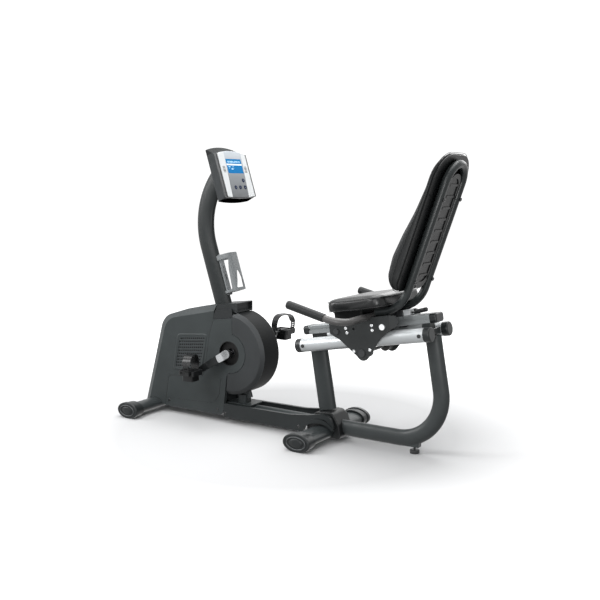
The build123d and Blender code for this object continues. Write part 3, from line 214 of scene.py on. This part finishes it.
FINISH = {
    "frame_paint": surface("frame powder coat", (0.028, 0.0325, 0.0335), 0.38, 900, 0.35, 0.0002,
                           specular=0.22),
    "plate_paint": surface("plate powder coat", (0.026, 0.0285, 0.029), 0.42, 900, 0.35, 0.0002,
                           specular=0.2),
    "handlebar_paint": surface("handlebar paint", (0.085, 0.083, 0.082), 0.3, 900, 0.3, 0.00015),
    "back_frame_paint": surface("back tube paint", (0.025, 0.029, 0.0295), 0.3, 900, 0.3, 0.00015,
                                specular=0.25),
    "hub_plastic": surface("hub plastic", (0.010, 0.011, 0.0115), 0.4, specular=0.2),
    "skirt_plastic": surface("skirt plastic", (0.016, 0.0187, 0.0195), 0.42, specular=0.22),
    "cap_plastic": surface("cap plastic", (0.014, 0.0162, 0.017), 0.34, specular=0.25),
    "housing_plastic": surface("housing plastic", (0.034, 0.0395, 0.0405), 0.44, relief=0.35,
                               specular=0.18),
    "top_cap_plastic": surface("top cap plastic", (0.019, 0.021, 0.022), 0.4, specular=0.2),
    "trim_plastic": surface("trim plastic", (0.075, 0.08, 0.083), 0.3),
    "cage_plastic": surface("cage plastic", (0.16, 0.17, 0.175), 0.4, vary=0.06),
    "board": surface("board lacquer", (0.02, 0.14, 0.06), 0.4),
    "bearing_steel": surface("bearing steel", (0.6, 0.6, 0.62), 0.25, metallic=1.0, relief=0.1),
    "belt_rubber": surface("belt rubber", (0.015, 0.015, 0.015), 0.6),
    "spindle_steel": surface("spindle steel", (0.6, 0.6, 0.62), 0.28, metallic=1.0, relief=0.1),
    "pedal_plastic": surface("pedal plastic", (0.008, 0.0085, 0.009), 0.36, specular=0.25),
    "strap_plastic": surface("strap rubber", (0.008, 0.0085, 0.009), 0.28, specular=0.3),
    "flywheel_iron": surface("flywheel iron", (0.3, 0.3, 0.31), 0.4, metallic=1.0),
    "roller_plastic": surface("roller nylon", (0.02, 0.02, 0.021), 0.4),
    "silver_tube": surface("silver metallic paint", (0.44, 0.46, 0.47), 0.34, 1800, 0.15, 0.00008,
                           vary=0.05, metallic=0.3, coat=0.2),
    "rail_aluminium": surface("anodised rail", (0.22, 0.235, 0.24), 0.3, 900, 0.12, 0.00004, vary=0.04,
                              metallic=0.5),
    "grip_rubber": surface("grip rubber", (0.012, 0.013, 0.0135), 0.5, 1100, 0.5, 0.0003, specular=0.2),
    "pan_plastic": surface("pan plastic", (0.004, 0.0045, 0.0045), 0.5, specular=0.1),
    "shell_plastic": surface("shell plastic", (0.003, 0.0034, 0.0036), 0.3, specular=0.18),
    "lock_plastic": surface("lock plastic", (0.014, 0.015, 0.016), 0.42),
    "lock_steel": surface("lock alloy", (0.55, 0.57, 0.58), 0.4, vary=0.06, metallic=0.2),
    "lever_plastic": surface("lever plastic", (0.014, 0.015, 0.016), 0.3),
    "foot_rubber": surface("foot rubber", (0.02, 0.021, 0.022), 0.55),
    "seat_leather": leather("seat leather", (0.0035, 0.004, 0.0042), 0.24, 0.15),
    "back_leather": leather("back leather", (0.0055, 0.0063, 0.0066), 0.42, 0.0),
}


def grille_finish():
    """Dark moulding with rows of small holes behind the slats, painted as near-black stripes of shade.
    """
    m = Nodes("grille plastic")
    dots = m.math("SINE", m.math("MULTIPLY", m.along((1, 0, 0.1)), 480.0))
    behind = m.math("LESS_THAN", m.math("ABSOLUTE", m.along(ACROSS)), 0.0696)
    # Painted shade: near-black stripes behind the slats stand for the shade inside the holes.
    hole_shade = m.math("MULTIPLY", m.math("GREATER_THAN", dots, -0.1), behind)
    m.link(m.mix(hole_shade, (0.050, 0.056, 0.058, 1), (0.0005, 0.0005, 0.0005, 1)),
           m.shader.inputs["Base Color"])
    m.link(m.remap(m.noise(60.0), 0.42, 0.55), m.shader.inputs["Roughness"])
    m.set(Specular_IOR_Level=0.15)
    m.bump(m.noise(1400.0), 0.3, 0.00012)
    return m.material


def console_finish():
    """Console face: dark rim, silver side strips, and a grey centre darker towards the keys."""
    m = Nodes("console face")
    v, h = m.along(ACROSS, PANEL_ORIGIN), m.along(PANEL_UP, PANEL_ORIGIN)
    ramp = m.add("ShaderNodeValToRGB")
    m.link(m.math("ADD", m.math("MULTIPLY", h, 4.2), 0.5), ramp.inputs["Fac"])
    ramp.color_ramp.elements[0].color = (0.06, 0.065, 0.07, 1)
    ramp.color_ramp.elements[1].color = (0.50, 0.54, 0.58, 1)
    middle = ramp.color_ramp.elements.new(0.45)
    middle.color = (0.17, 0.185, 0.20, 1)
    left_edge = m.math("ADD", m.math("MULTIPLY", h, 0.071), -0.0655)
    right_edge = m.math("ADD", m.math("MULTIPLY", h, 0.086), 0.0655)
    side = m.math("MAXIMUM", m.math("LESS_THAN", v, left_edge), m.math("GREATER_THAN", v, right_edge))
    face = m.mix(side, ramp.outputs["Color"], (0.60, 0.62, 0.63, 1))
    marks = m.math("MULTIPLY", m.within(m.math("ABSOLUTE", v), 0.074, 0.093), m.within(h, 0.008, 0.038))
    lines = m.math("GREATER_THAN", m.math("SINE", m.math("MULTIPLY", h, 900.0)), -0.2)
    face = m.mix(m.math("MULTIPLY", marks, lines), face, (0.01, 0.01, 0.012, 1))
    front = m.math("MULTIPLY", m.within(v, -0.1085, 0.1060),
                   m.math("GREATER_THAN", m.along(PANEL_OUT, PANEL_ORIGIN), -0.0015))
    m.link(m.mix(front, (0.018, 0.02, 0.021, 1), face), m.shader.inputs["Base Color"])
    m.link(m.remap(m.noise(70.0), 0.3, 0.4), m.shader.inputs["Roughness"])
    m.set(Specular_IOR_Level=0.3)
    m.bump(m.noise(1600.0), 0.12, 0.00008)
    return m.material


def shell_finish():
    """Console shell: dark grey, with its underside painted black without reflection, as painted shade.
    """
    m = Nodes("console plastic")
    underside_shade = m.math("LESS_THAN", m.along(PANEL_UP, PANEL_ORIGIN), PANEL_FOOT)
    crown = m.math("GREATER_THAN", m.along(PANEL_UP, PANEL_ORIGIN), PANEL_CROWN)
    drift = m.mix(m.remap(m.noise(9.0, 4.0), 0, 1), (0.030, 0.033, 0.034, 1), (0.036, 0.039, 0.041, 1))
    drift = m.mix(crown, drift, (0.011, 0.0125, 0.013, 1))
    # Painted shade: the underside is near-black and its specular level falls to zero.
    m.link(m.mix(underside_shade, drift, (0.001, 0.001, 0.001, 1)), m.shader.inputs["Base Color"])
    m.link(m.remap(underside_shade, 0.08, 0.0, 0, 1), m.shader.inputs["Specular IOR Level"])
    m.link(m.remap(m.noise(38.0, 5.0), 0.55, 0.65), m.shader.inputs["Roughness"])
    m.bump(m.noise(1400.0), 0.25, 0.00012)
    return m.material


def display_finish():
    """Blue liquid-crystal display with a pale band and rows of small segments."""
    m = Nodes("display")
    v, h = m.along(ACROSS, PANEL_ORIGIN), m.along(PANEL_UP, PANEL_ORIGIN)
    band = m.within(h, 0.043, 0.051)
    upper = m.math("MULTIPLY", m.within(h, 0.056, 0.065), m.within(v, -0.050, 0.050))
    lower = m.math("MULTIPLY", m.math("MAXIMUM", m.within(h, 0.033, 0.039), m.within(h, 0.022, 0.029)),
                   m.within(v, -0.046, -0.006))
    glyphs = m.math("GREATER_THAN", m.noise(170.0, 0.0, 0.5, (1.0, 1.0, 0.25)), 0.47)
    glyphs = m.math("MULTIPLY", glyphs, m.math("MAXIMUM", upper, lower))
    blue = m.mix(m.remap(h, 0.0, 1.0, 0.0, 0.08), (0.0, 0.15, 0.40, 1), (0.0, 0.18, 0.44, 1))
    lit = m.mix(glyphs, blue, (0.40, 0.66, 0.88, 1))
    m.link(m.mix(band, lit, (0.78, 0.88, 0.94, 1)), m.shader.inputs["Base Color"])
    m.set(Roughness=0.4, Specular_IOR_Level=0.05)
    return m.material


def key_finish():
    """Round dark blue keys, each with a small pale mark."""
    m = Nodes("key plastic")
    marks = None
    for v, h in KEY_PLACES:
        near = m.math("LESS_THAN", m.radius(ACROSS, PANEL_UP, panel(v, h)), KEY_MARK)
        marks = m.math("MAXIMUM", marks, near) if marks else near
    m.link(m.mix(marks, (0.003, 0.009, 0.035, 1), (0.35, 0.4, 0.48, 1)), m.shader.inputs["Base Color"])
    m.link(m.remap(m.noise(90.0), 0.45, 0.55), m.shader.inputs["Roughness"])
    m.set(Specular_IOR_Level=0.1)
    m.bump(m.noise(1200.0), 0.1, 0.00005)
    return m.material


def cover_finish():
    """Round cover: the side faces are dark grey, and the rim between them is painted near-black with
    its reflection cut, as painted shade.
    """
    m = Nodes("cover plastic")
    rim = m.math("LESS_THAN", m.math("ABSOLUTE", m.along(ACROSS)), 0.0585)
    side = m.mix(m.remap(m.noise(9.0, 4.0), 0, 1), (0.028, 0.0305, 0.032, 1), (0.034, 0.037, 0.039, 1))
    # Painted shade: the rim gets a near-black colour and a lower specular level than the side faces.
    m.link(m.mix(rim, side, (0.005, 0.0057, 0.006, 1)), m.shader.inputs["Base Color"])
    m.link(m.remap(rim, 0.44, 0.5, 0, 1), m.shader.inputs["Roughness"])
    m.link(m.remap(rim, 0.2, 0.06, 0, 1), m.shader.inputs["Specular IOR Level"])
    m.bump(m.noise(1400.0), 0.35, 0.00012)
    return m.material


def screw_finish():
    """Bright screws in the side plates; the other screws are black."""
    m = Nodes("screw steel")
    bright = m.math("GREATER_THAN", m.math("ABSOLUTE", m.along(ACROSS)), PLATE_FACE)
    m.link(m.mix(bright, (0.008, 0.009, 0.010, 1), (0.6, 0.61, 0.62, 1)), m.shader.inputs["Base Color"])
    m.link(bright, m.shader.inputs["Metallic"])
    m.link(m.remap(m.noise(90.0), 0.18, 0.3), m.shader.inputs["Roughness"])
    m.bump(m.noise(900.0), 0.1, 0.0001)
    return m.material


def spot_finish(name, centre, reach, plain, special, rough, metal=False):
    """A finish with a round area of another colour about an axis across the bike."""
    m = Nodes(name)
    spot = m.math("LESS_THAN", m.radius((1, 0, 0), (0, 0, 1), centre), reach)
    drift = m.mix(m.remap(m.noise(9.0, 4.0), 0, 1), shade(plain, 0.88), shade(plain, 1.12))
    m.link(m.mix(spot, drift, special + (1,)), m.shader.inputs["Base Color"])
    m.link(m.remap(m.noise(38.0, 5.0), rough - 0.05, rough + 0.05), m.shader.inputs["Roughness"])
    if metal:
        m.link(spot, m.shader.inputs["Metallic"])
    m.set(Specular_IOR_Level=0.2)
    m.bump(m.noise(1400.0), 0.3, 0.00012)
    return m.material


# Painted shade: a near-black disc round the crank axis stands for the shade in the crank recess.
FINISH["panel_plastic"] = spot_finish("panel plastic", CRANK, RECESS_RADIUS,
                                      (0.034, 0.0395, 0.0405), (0.002, 0.002, 0.002), 0.46)
FINISH["axle_steel"] = spot_finish("axle steel", rail(0.134, 0.0535), AXLE_RADIUS,
                                   (0.05, 0.053, 0.055), (0.85, 0.87, 0.88), 0.3, metal=True)
FINISH["key_plastic"] = key_finish()
FINISH["console_plastic"] = shell_finish()
FINISH["screw_steel"] = screw_finish()
# Painted highlight: a bright metallic disc round the crank boss stands for the highlight near the arm's
# boss end; the rest of the arm is dark paint.
FINISH["crank_steel"] = spot_finish("crank paint", CRANK, BOSS_HIGHLIGHT_RADIUS,
                                    (0.012, 0.0135, 0.014), (0.42, 0.43, 0.44), 0.24, metal=True)
FINISH["cover_plastic"] = cover_finish()
FINISH["grille_plastic"] = grille_finish()
FINISH["console_face"] = console_finish()
FINISH["display_glass"] = display_finish()

SLOTS = {entry["node"]: entry["material_slot"] for entry in frame["record"]["subparts"]}
for name, node in NODES.items():
    node.data.materials.clear()
    node.data.materials.append(FINISH[SLOTS[name]])

# Two tubes get lit and shaded copies of the frame's paint: the mast darker as painted shade, the rear
# post lighter as painted light.
LIT_AND_SHADED_PAINT = {
    "mast": surface("mast powder coat, painted shade", (0.013, 0.0153, 0.0158), 0.38, 900, 0.35, 0.0002, specular=0.2),
    "rear_post": surface("post powder coat, painted light", (0.040, 0.045, 0.046), 0.38, 900, 0.35, 0.0002,
                         specular=0.22),
}
for name, finish in LIT_AND_SHADED_PAINT.items():
    NODES[name].data.materials[0] = finish

EDGED = ("side_plate_left", "side_plate_right", "side_panel_left", "side_panel_right", "lock_block",
         "lock_housing", "beam_skirts")
for name in EDGED:
    bevel = NODES[name].modifiers.new("edge", "BEVEL")
    bevel.width = 0.0009
    bevel.segments = 2
    bevel.limit_method = "ANGLE"
    bevel.angle_limit = math.radians(50)


# ------------------------------------------------------------------ shared shape helpers
def piece(name, mesh, finish, body):
    obj = bpy.data.objects.new(name, mesh)
    bpy.context.scene.collection.objects.link(obj)
    mesh.materials.append(finish)
    for polygon in mesh.polygons:
        polygon.use_smooth = True
    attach(obj, body)
    return obj


def tube(name, points, radius, finish, body, closed=False):
    """A round bead along a line of points, as a mesh."""
    curve = bpy.data.curves.new(name, "CURVE")
    curve.dimensions = "3D"
    spline = curve.splines.new("POLY")
    spline.points.add(len(points) - 1)
    for point, target in zip(spline.points, points):
        point.co = (*target, 1.0)
    spline.use_cyclic_u = closed
    curve.bevel_depth = radius
    curve.bevel_resolution = 2
    curve.use_fill_caps = True
    helper = bpy.data.objects.new(name + "_path", curve)
    bpy.context.scene.collection.objects.link(helper)
    bpy.context.view_layer.update()
    mesh = bpy.data.meshes.new_from_object(helper.evaluated_get(bpy.context.evaluated_depsgraph_get()))
    bpy.data.objects.remove(helper)
    return piece(name, mesh, finish, body)


def rounded_loop(a0, a1, b0, b1, radii, steps=14):
    """Rounded rectangle in (a, b); radii for the corners (a0,b0), (a1,b0), (a1,b1), (a0,b1)."""
    corners = ((a0, b0, 1, 1, 180), (a1, b0, -1, 1, 270), (a1, b1, -1, -1, 0), (a0, b1, 1, -1, 90))
    loop = []
    for (a, b, sa, sb, start), r in zip(corners, radii):
        r = max(r, 0.001)
        for step in range(steps + 1):
            angle = math.radians(start + 90 * step / steps)
            loop.append((a + sa * r + r * math.cos(angle), b + sb * r + r * math.sin(angle)))
    return resample(loop, 160)


def resample(loop, count):
    """Even points round a closed loop."""
    points = [Vector(p) for p in loop]
    lengths = [(points[(i + 1) % len(points)] - p).length for i, p in enumerate(points)]
    total, out, index, gone = sum(lengths), [], 0, 0.0
    for k in range(count):
        target = total * k / count
        while gone + lengths[index] < target:
            gone += lengths[index]
            index += 1
        part = (target - gone) / lengths[index] if lengths[index] else 0.0
        out.append(points[index].lerp(points[(index + 1) % len(points)], part))
    return out


def skin(name, rings, close_first=True, close_last=True):
    """Mesh through rings of equal point counts; ends are filled towards their middle."""
    mesh = bpy.data.meshes.new(name)
    bm = bmesh.new()
    loops = [[bm.verts.new(p) for p in ring] for ring in rings]
    for low, high in zip(loops, loops[1:]):
        for k in range(len(low)):
            n = (k + 1) % len(low)
            bm.faces.new((low[k], low[n], high[n], high[k]))
    for flag, loop in ((close_first, loops[0]), (close_last, loops[-1])):
        if flag:
            centre = bm.verts.new(sum((v.co for v in loop), Vector()) / len(loop))
            for k in range(len(loop)):
                bm.faces.new((loop[k], loop[(k + 1) % len(loop)], centre))
    bmesh.ops.recalc_face_normals(bm, faces=bm.faces)
    bm.to_mesh(mesh)
    bm.free()
    return mesh


def evened(mesh, values, passes):
    """Each vertex's value drawn towards its neighbours' mean, a number of times over."""
    pairs = [tuple(edge.vertices) for edge in mesh.edges]
    for _ in range(passes):
        total, count = [value.copy() for value in values], [1] * len(values)
        for a, b in pairs:
            total[a] += values[b]
            total[b] += values[a]
            count[a] += 1
            count[b] += 1
        values = [t / c for t, c in zip(total, count)]
    return values


CLOTH_STEPS, EVEN_PASSES, REST_PASSES = 20, 24, 3


def inflate(obj, voxel, pressure, cap, pinned=None):
    """Cloth pressure on a remeshed copy of the pad; its movement is evened out, capped and applied."""
    bpy.context.view_layer.objects.active = obj
    remesh = obj.modifiers.new("remesh", "REMESH")
    remesh.mode = "VOXEL"
    remesh.voxel_size = voxel
    graph = bpy.context.evaluated_depsgraph_get()
    mesh = bpy.data.meshes.new_from_object(obj.evaluated_get(graph))
    obj.modifiers.clear()
    obj.data = mesh
    rest = [v.co.copy() for v in mesh.vertices]
    if pinned:
        group = obj.vertex_groups.new(name="pin")
        held = [v.index for v in mesh.vertices if pinned(v.co)]
        group.add(held, 1.0, "REPLACE")
    cloth = obj.modifiers.new("cloth", "CLOTH")
    cloth.settings.quality = 5
    cloth.settings.mass = 0.3
    cloth.settings.tension_stiffness = 25
    cloth.settings.compression_stiffness = 25
    cloth.settings.bending_stiffness = 2.0
    cloth.settings.use_pressure = True
    cloth.settings.uniform_pressure_force = pressure
    cloth.settings.effector_weights.gravity = 0
    cloth.collision_settings.use_collision = False
    if pinned:
        cloth.settings.vertex_group_mass = "pin"
    cloth.point_cache.frame_start = 1
    cloth.point_cache.frame_end = CLOTH_STEPS
    for step in range(1, CLOTH_STEPS + 1):
        bpy.context.scene.frame_set(step)
    graph = bpy.context.evaluated_depsgraph_get()
    moved = [v.co.copy() for v in obj.evaluated_get(graph).data.vertices]
    obj.modifiers.clear()
    bpy.context.scene.frame_set(1)
    steps = evened(mesh, [goal - home for home, goal in zip(rest, moved)], EVEN_PASSES)
    for vertex, home, step in zip(mesh.vertices, evened(mesh, rest, REST_PASSES), steps):
        if step.length > cap:
            step *= cap / step.length
        vertex.co = home + step
    for polygon in mesh.polygons:
        polygon.use_smooth = True
    subdivide(obj, 1)


def subdivide(obj, levels):
    sub = obj.modifiers.new("smooth", "SUBSURF")
    sub.levels = sub.render_levels = levels


# ------------------------------------------------------------------ seat cushion
SEAT_U, SEAT_FOOT, SEAT_HALF = (-0.112, 0.182), 0.1383, 0.200


def seat_loop(inset, w, crown=0.0):
    """Outline of the seat pad, drawn in by an inset, at a height above the rail."""
    corner = max(0.056 - inset * 0.6, 0.006)
    loop = rounded_loop(SEAT_U[0] + inset, SEAT_U[1] - inset, -SEAT_HALF + inset, SEAT_HALF - inset,
                        (corner, corner * 0.9, corner * 0.9, corner))
    ring = []
    for u, y in loop:
        dip = crown * (1 - (y / SEAT_HALF) ** 2) * (1 - ((u - 0.035) / 0.147) ** 2)
        ring.append(rail(u, w + dip, y))
    return ring


def make_seat():
    swell = 0.003
    rings = [seat_loop(0.012 + swell, SEAT_FOOT + 0.001), seat_loop(0.004 + swell, SEAT_FOOT + 0.003),
             seat_loop(0.001 + swell, SEAT_FOOT + 0.010), seat_loop(swell, 0.160),
             seat_loop(0.001 + swell, 0.176), seat_loop(0.004 + swell, 0.184),
             seat_loop(0.010 + swell, 0.1885), seat_loop(0.020 + swell, 0.1905, 0.001)]
    for inset in (0.04, 0.07, 0.10, 0.13):
        rings.append(seat_loop(inset, 0.1912, 0.003))
    pad = piece("seat_pad", skin("seat_pad", rings), FINISH["seat_leather"], "carriage")
    inflate(pad, 0.005, 4.0, 0.004, lambda co: (co - RAIL_ORIGIN).dot(RAIL_W) < SEAT_FOOT + 0.002)
    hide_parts("seat_cushion")
    for name, inset, height in (("seat_seam", 0.0035, 0.1835), ("seat_lower_seam", 0.0030, 0.1435)):
        tube(name, seat_loop(inset, height), 0.0011, FINISH["seat_leather"], "carriage",
             closed=True)


# ------------------------------------------------------------------ backrest pad
BACK_LOW, BACK_HIGH, BACK_HALF, BACK_GAP = -0.010, 0.600, 0.176, 0.0215
FRONT_LINE = [(-0.010, 0.040), (0.0, 0.056), (0.05, 0.077), (0.13, 0.083), (0.231, 0.071),
              (0.337, 0.052), (0.448, 0.040), (0.54, 0.039), (0.592, 0.033), (0.61, 0.029)]


def back_front(l):
    """How far the pad's face stands before the back frame's centre line, at a place along it."""
    for (l0, n0), (l1, n1) in zip(FRONT_LINE, FRONT_LINE[1:]):
        if l <= l1:
            t = max(0.0, (l - l0) / (l1 - l0))
            return n0 + (n1 - n0) * t
    return FRONT_LINE[-1][1]


def back_loop(inset, t, crown=0.0):
    """Outline of the back pad, drawn in by an inset, t of the way from its back to its face."""
    top = min(0.118 - inset * 0.5, BACK_HALF - inset - 0.002)
    foot = max(0.058 - inset * 0.4, 0.004)
    loop = rounded_loop(BACK_LOW + inset, BACK_HIGH - inset, -BACK_HALF + inset, BACK_HALF - inset,
                        (foot, top, top, foot))
    ring = []
    for l, y in loop:
        bow = crown * (1 - (y / BACK_HALF) ** 2)
        ring.append(back(l, BACK_GAP + t * (back_front(l) - BACK_GAP) + bow, y))
    return ring


def make_back():
    rings = [back_loop(0.008, 0.0), back_loop(0.005, 0.06), back_loop(0.002, 0.24), back_loop(0.0, 0.5),
             back_loop(0.0, 0.74), back_loop(0.002, 0.90), back_loop(0.006, 0.98),
             back_loop(0.014, 1.01, 0.001)]
    for inset in (0.05, 0.08, 0.11, 0.14):
        rings.append(back_loop(inset, 1.01, 0.002))
    pad = piece("back_pad", skin("back_pad", rings), FINISH["back_leather"], "carriage")
    inflate(pad, 0.006, 4.0, 0.003, lambda co: (co - BACK_ORIGIN).dot(BACK_N) < BACK_GAP + 0.002)
    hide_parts("back_cushion")
    tube("back_seam", back_loop(-0.0002, 0.5), 0.0011, FINISH["back_leather"], "carriage",
         closed=True)


make_seat()
make_back()


# ------------------------------------------------------------------ trim on the housing
HOUSING_FACE = 0.073


def soft_line(points, reach, y, closed=False, steps=6):
    """Line through side-view points in the bike's own frame, its corners rounded off."""
    count, line = len(points), []
    for i, here in enumerate(points):
        here = Vector(here)
        if not closed and i in (0, count - 1):
            line.append(here)
            continue
        before, after = Vector(points[i - 1]), Vector(points[(i + 1) % count])
        start = here + (before - here).normalized() * min(reach, (before - here).length * 0.45)
        end = here + (after - here).normalized() * min(reach, (after - here).length * 0.45)
        for step in range(steps + 1):
            t = step / steps
            line.append(start * (1 - t) ** 2 + here * 2 * t * (1 - t) + end * t * t)
    return [Vector((x - CENTRE_X, y, z)) for x, z in line]


def grown(points, amount):
    """Side-view points moved away from their middle by about an amount."""
    middle = sum((Vector(p) for p in points), Vector((0, 0))) / len(points)
    return [Vector(p) + (Vector(p) - middle).normalized() * amount for p in points]


GRILLE_CORNERS = [(-0.622, 0.246), (-0.590, 0.404), (-0.426, 0.422), (-0.462, 0.262)]
PANEL_SEAM = [(-0.369, 0.514), (-0.394, 0.448), (-0.427, 0.262), (-0.443, 0.216), (-0.668, 0.199),
              (-0.697, 0.040)]
PANEL_GROOVE = [(-0.692, 0.078), (-0.385, 0.090), (-0.342, 0.124), (-0.326, 0.224)]


def make_housing_trim():
    dark, bezel = FINISH["hub_plastic"], FINISH["housing_plastic"]
    for side, sign in (("left", -1), ("right", 1)):
        face = sign * HOUSING_FACE
        tube(f"panel_seam_{side}", soft_line(PANEL_SEAM, 0.02, face), 0.0011, dark, "base")
        tube(f"panel_groove_{side}", soft_line(PANEL_GROOVE, 0.03, face + sign * 0.0004), 0.0008, dark,
             "base")
        rings = []
        for amount, height in ((0.024, -0.0004), (0.022, 0.0016), (0.014, 0.0016), (0.001, -0.0012)):
            corners = grown(GRILLE_CORNERS, amount)
            rings.append(soft_line(corners, 0.022, face + sign * height, closed=True))
        piece(f"grille_bezel_{side}", skin("grille_bezel", rings, False, False), bezel, "base")


def oval(centre_x, width, height, y, steps=48):
    return [Vector((centre_x - CENTRE_X + width / 2 * math.cos(2 * math.pi * k / steps), y,
                    0.040 + height / 2 * math.sin(2 * math.pi * k / steps))) for k in range(steps)]


def make_cap_trim():
    for end, x, width, height in (("front", -0.769, 0.132, 0.080), ("rear", 0.252, 0.142, 0.084)):
        for side, sign in (("left", -1), ("right", 1)):
            face = sign * 0.280
            tube(f"cap_ring_{end}_{side}", oval(x, width * 0.70, height * 0.66, face), 0.0026,
                 FINISH["trim_plastic"], "base", closed=True)
            rings = [oval(x, width * k, height * k, face + sign * rise)
                     for k, rise in ((0.50, -0.0005), (0.48, 0.0012), (0.2, 0.0014))]
            piece(f"cap_badge_{end}_{side}", skin("cap_badge", rings), FINISH["cap_plastic"], "base")


make_housing_trim()
make_cap_trim()


# ------------------------------------------------------------------ stage, light and camera
def area(name, place, target, size, power):
    light = bpy.data.lights.new(name, "AREA")
    light.shape = "RECTANGLE"
    light.size, light.size_y = size
    light.energy = power
    obj = bpy.data.objects.new(name, light)
    obj.location = place
    obj.rotation_euler = (Vector(target) - Vector(place)).to_track_quat("-Z", "Y").to_euler()
    bpy.context.scene.collection.objects.link(obj)


def make_stage():
    mesh = bpy.data.meshes.new("floor")
    bm = bmesh.new()
    bmesh.ops.create_grid(bm, x_segments=1, y_segments=1, size=40)
    bm.to_mesh(mesh)
    bm.free()
    floor = bpy.data.objects.new("floor", mesh)
    bpy.context.scene.collection.objects.link(floor)
    m = Nodes("floor")
    m.link(m.mix(m.noise(0.4), (0.47, 0.475, 0.48, 1), (0.49, 0.49, 0.495, 1)),
           m.shader.inputs["Base Color"])
    far = m.radius((1, 0, 0), (0, 1, 0), (0, 0, 0))
    m.link(m.remap(far, 0.0, 1.05, 0.8, 2.0), m.shader.inputs["Emission Strength"])
    m.set(Roughness=0.7, Specular_IOR_Level=0.0, Emission_Color=(1, 1, 1, 1))
    mesh.materials.append(m.material)
    floor.visible_diffuse = floor.visible_glossy = False

    world = bpy.data.worlds.new("studio")
    bpy.context.scene.world = world
    world.use_nodes = True
    background = world.node_tree.nodes["Background"]
    background.inputs["Color"].default_value = (1.0, 1.0, 1.0, 1)
    background.inputs["Strength"].default_value = 1.1
    world.cycles_visibility.diffuse = False

    area("top_softbox", (0.2, 0.3, 3.4), (0.1, 0.1, 0.4), (4.2, 3.0), 200)
    area("housing_light", (-0.75, -1.15, 1.35), (-0.45, 0, 0.45), (0.7, 0.5), 13)
    area("rear_post_light", (1.3, -1.5, 0.7), (0.62, 0, 0.3), (0.6, 0.6), 11)
    area("rear_softbox", (0.4, 3.6, 2.6), (0.2, 0, 0.7), (4.2, 1.8), 60)
    area("left_softbox", (-3.6, -2.2, 2.4), (-0.2, 0, 0.6), (2.4, 2.4), 110)
    area("front_fill", (1.0, -5.0, 2.4), (0.1, 0, 0.6), (3.4, 2.6), 90)


def make_camera():
    data = bpy.data.cameras.new("camera")
    data.lens = 51.02
    data.sensor_width = 36.0
    obj = bpy.data.objects.new("camera", data)
    place, target = Vector((2.2317, -3.3025, 1.1528)), Vector((0.0721, 0.0, 0.6346))
    obj.location = place
    obj.rotation_euler = (target - place).to_track_quat("-Z", "Y").to_euler()
    bpy.context.scene.collection.objects.link(obj)
    bpy.context.scene.camera = obj


make_stage()
make_camera()
bpy.context.scene.view_settings.view_transform = "Standard"
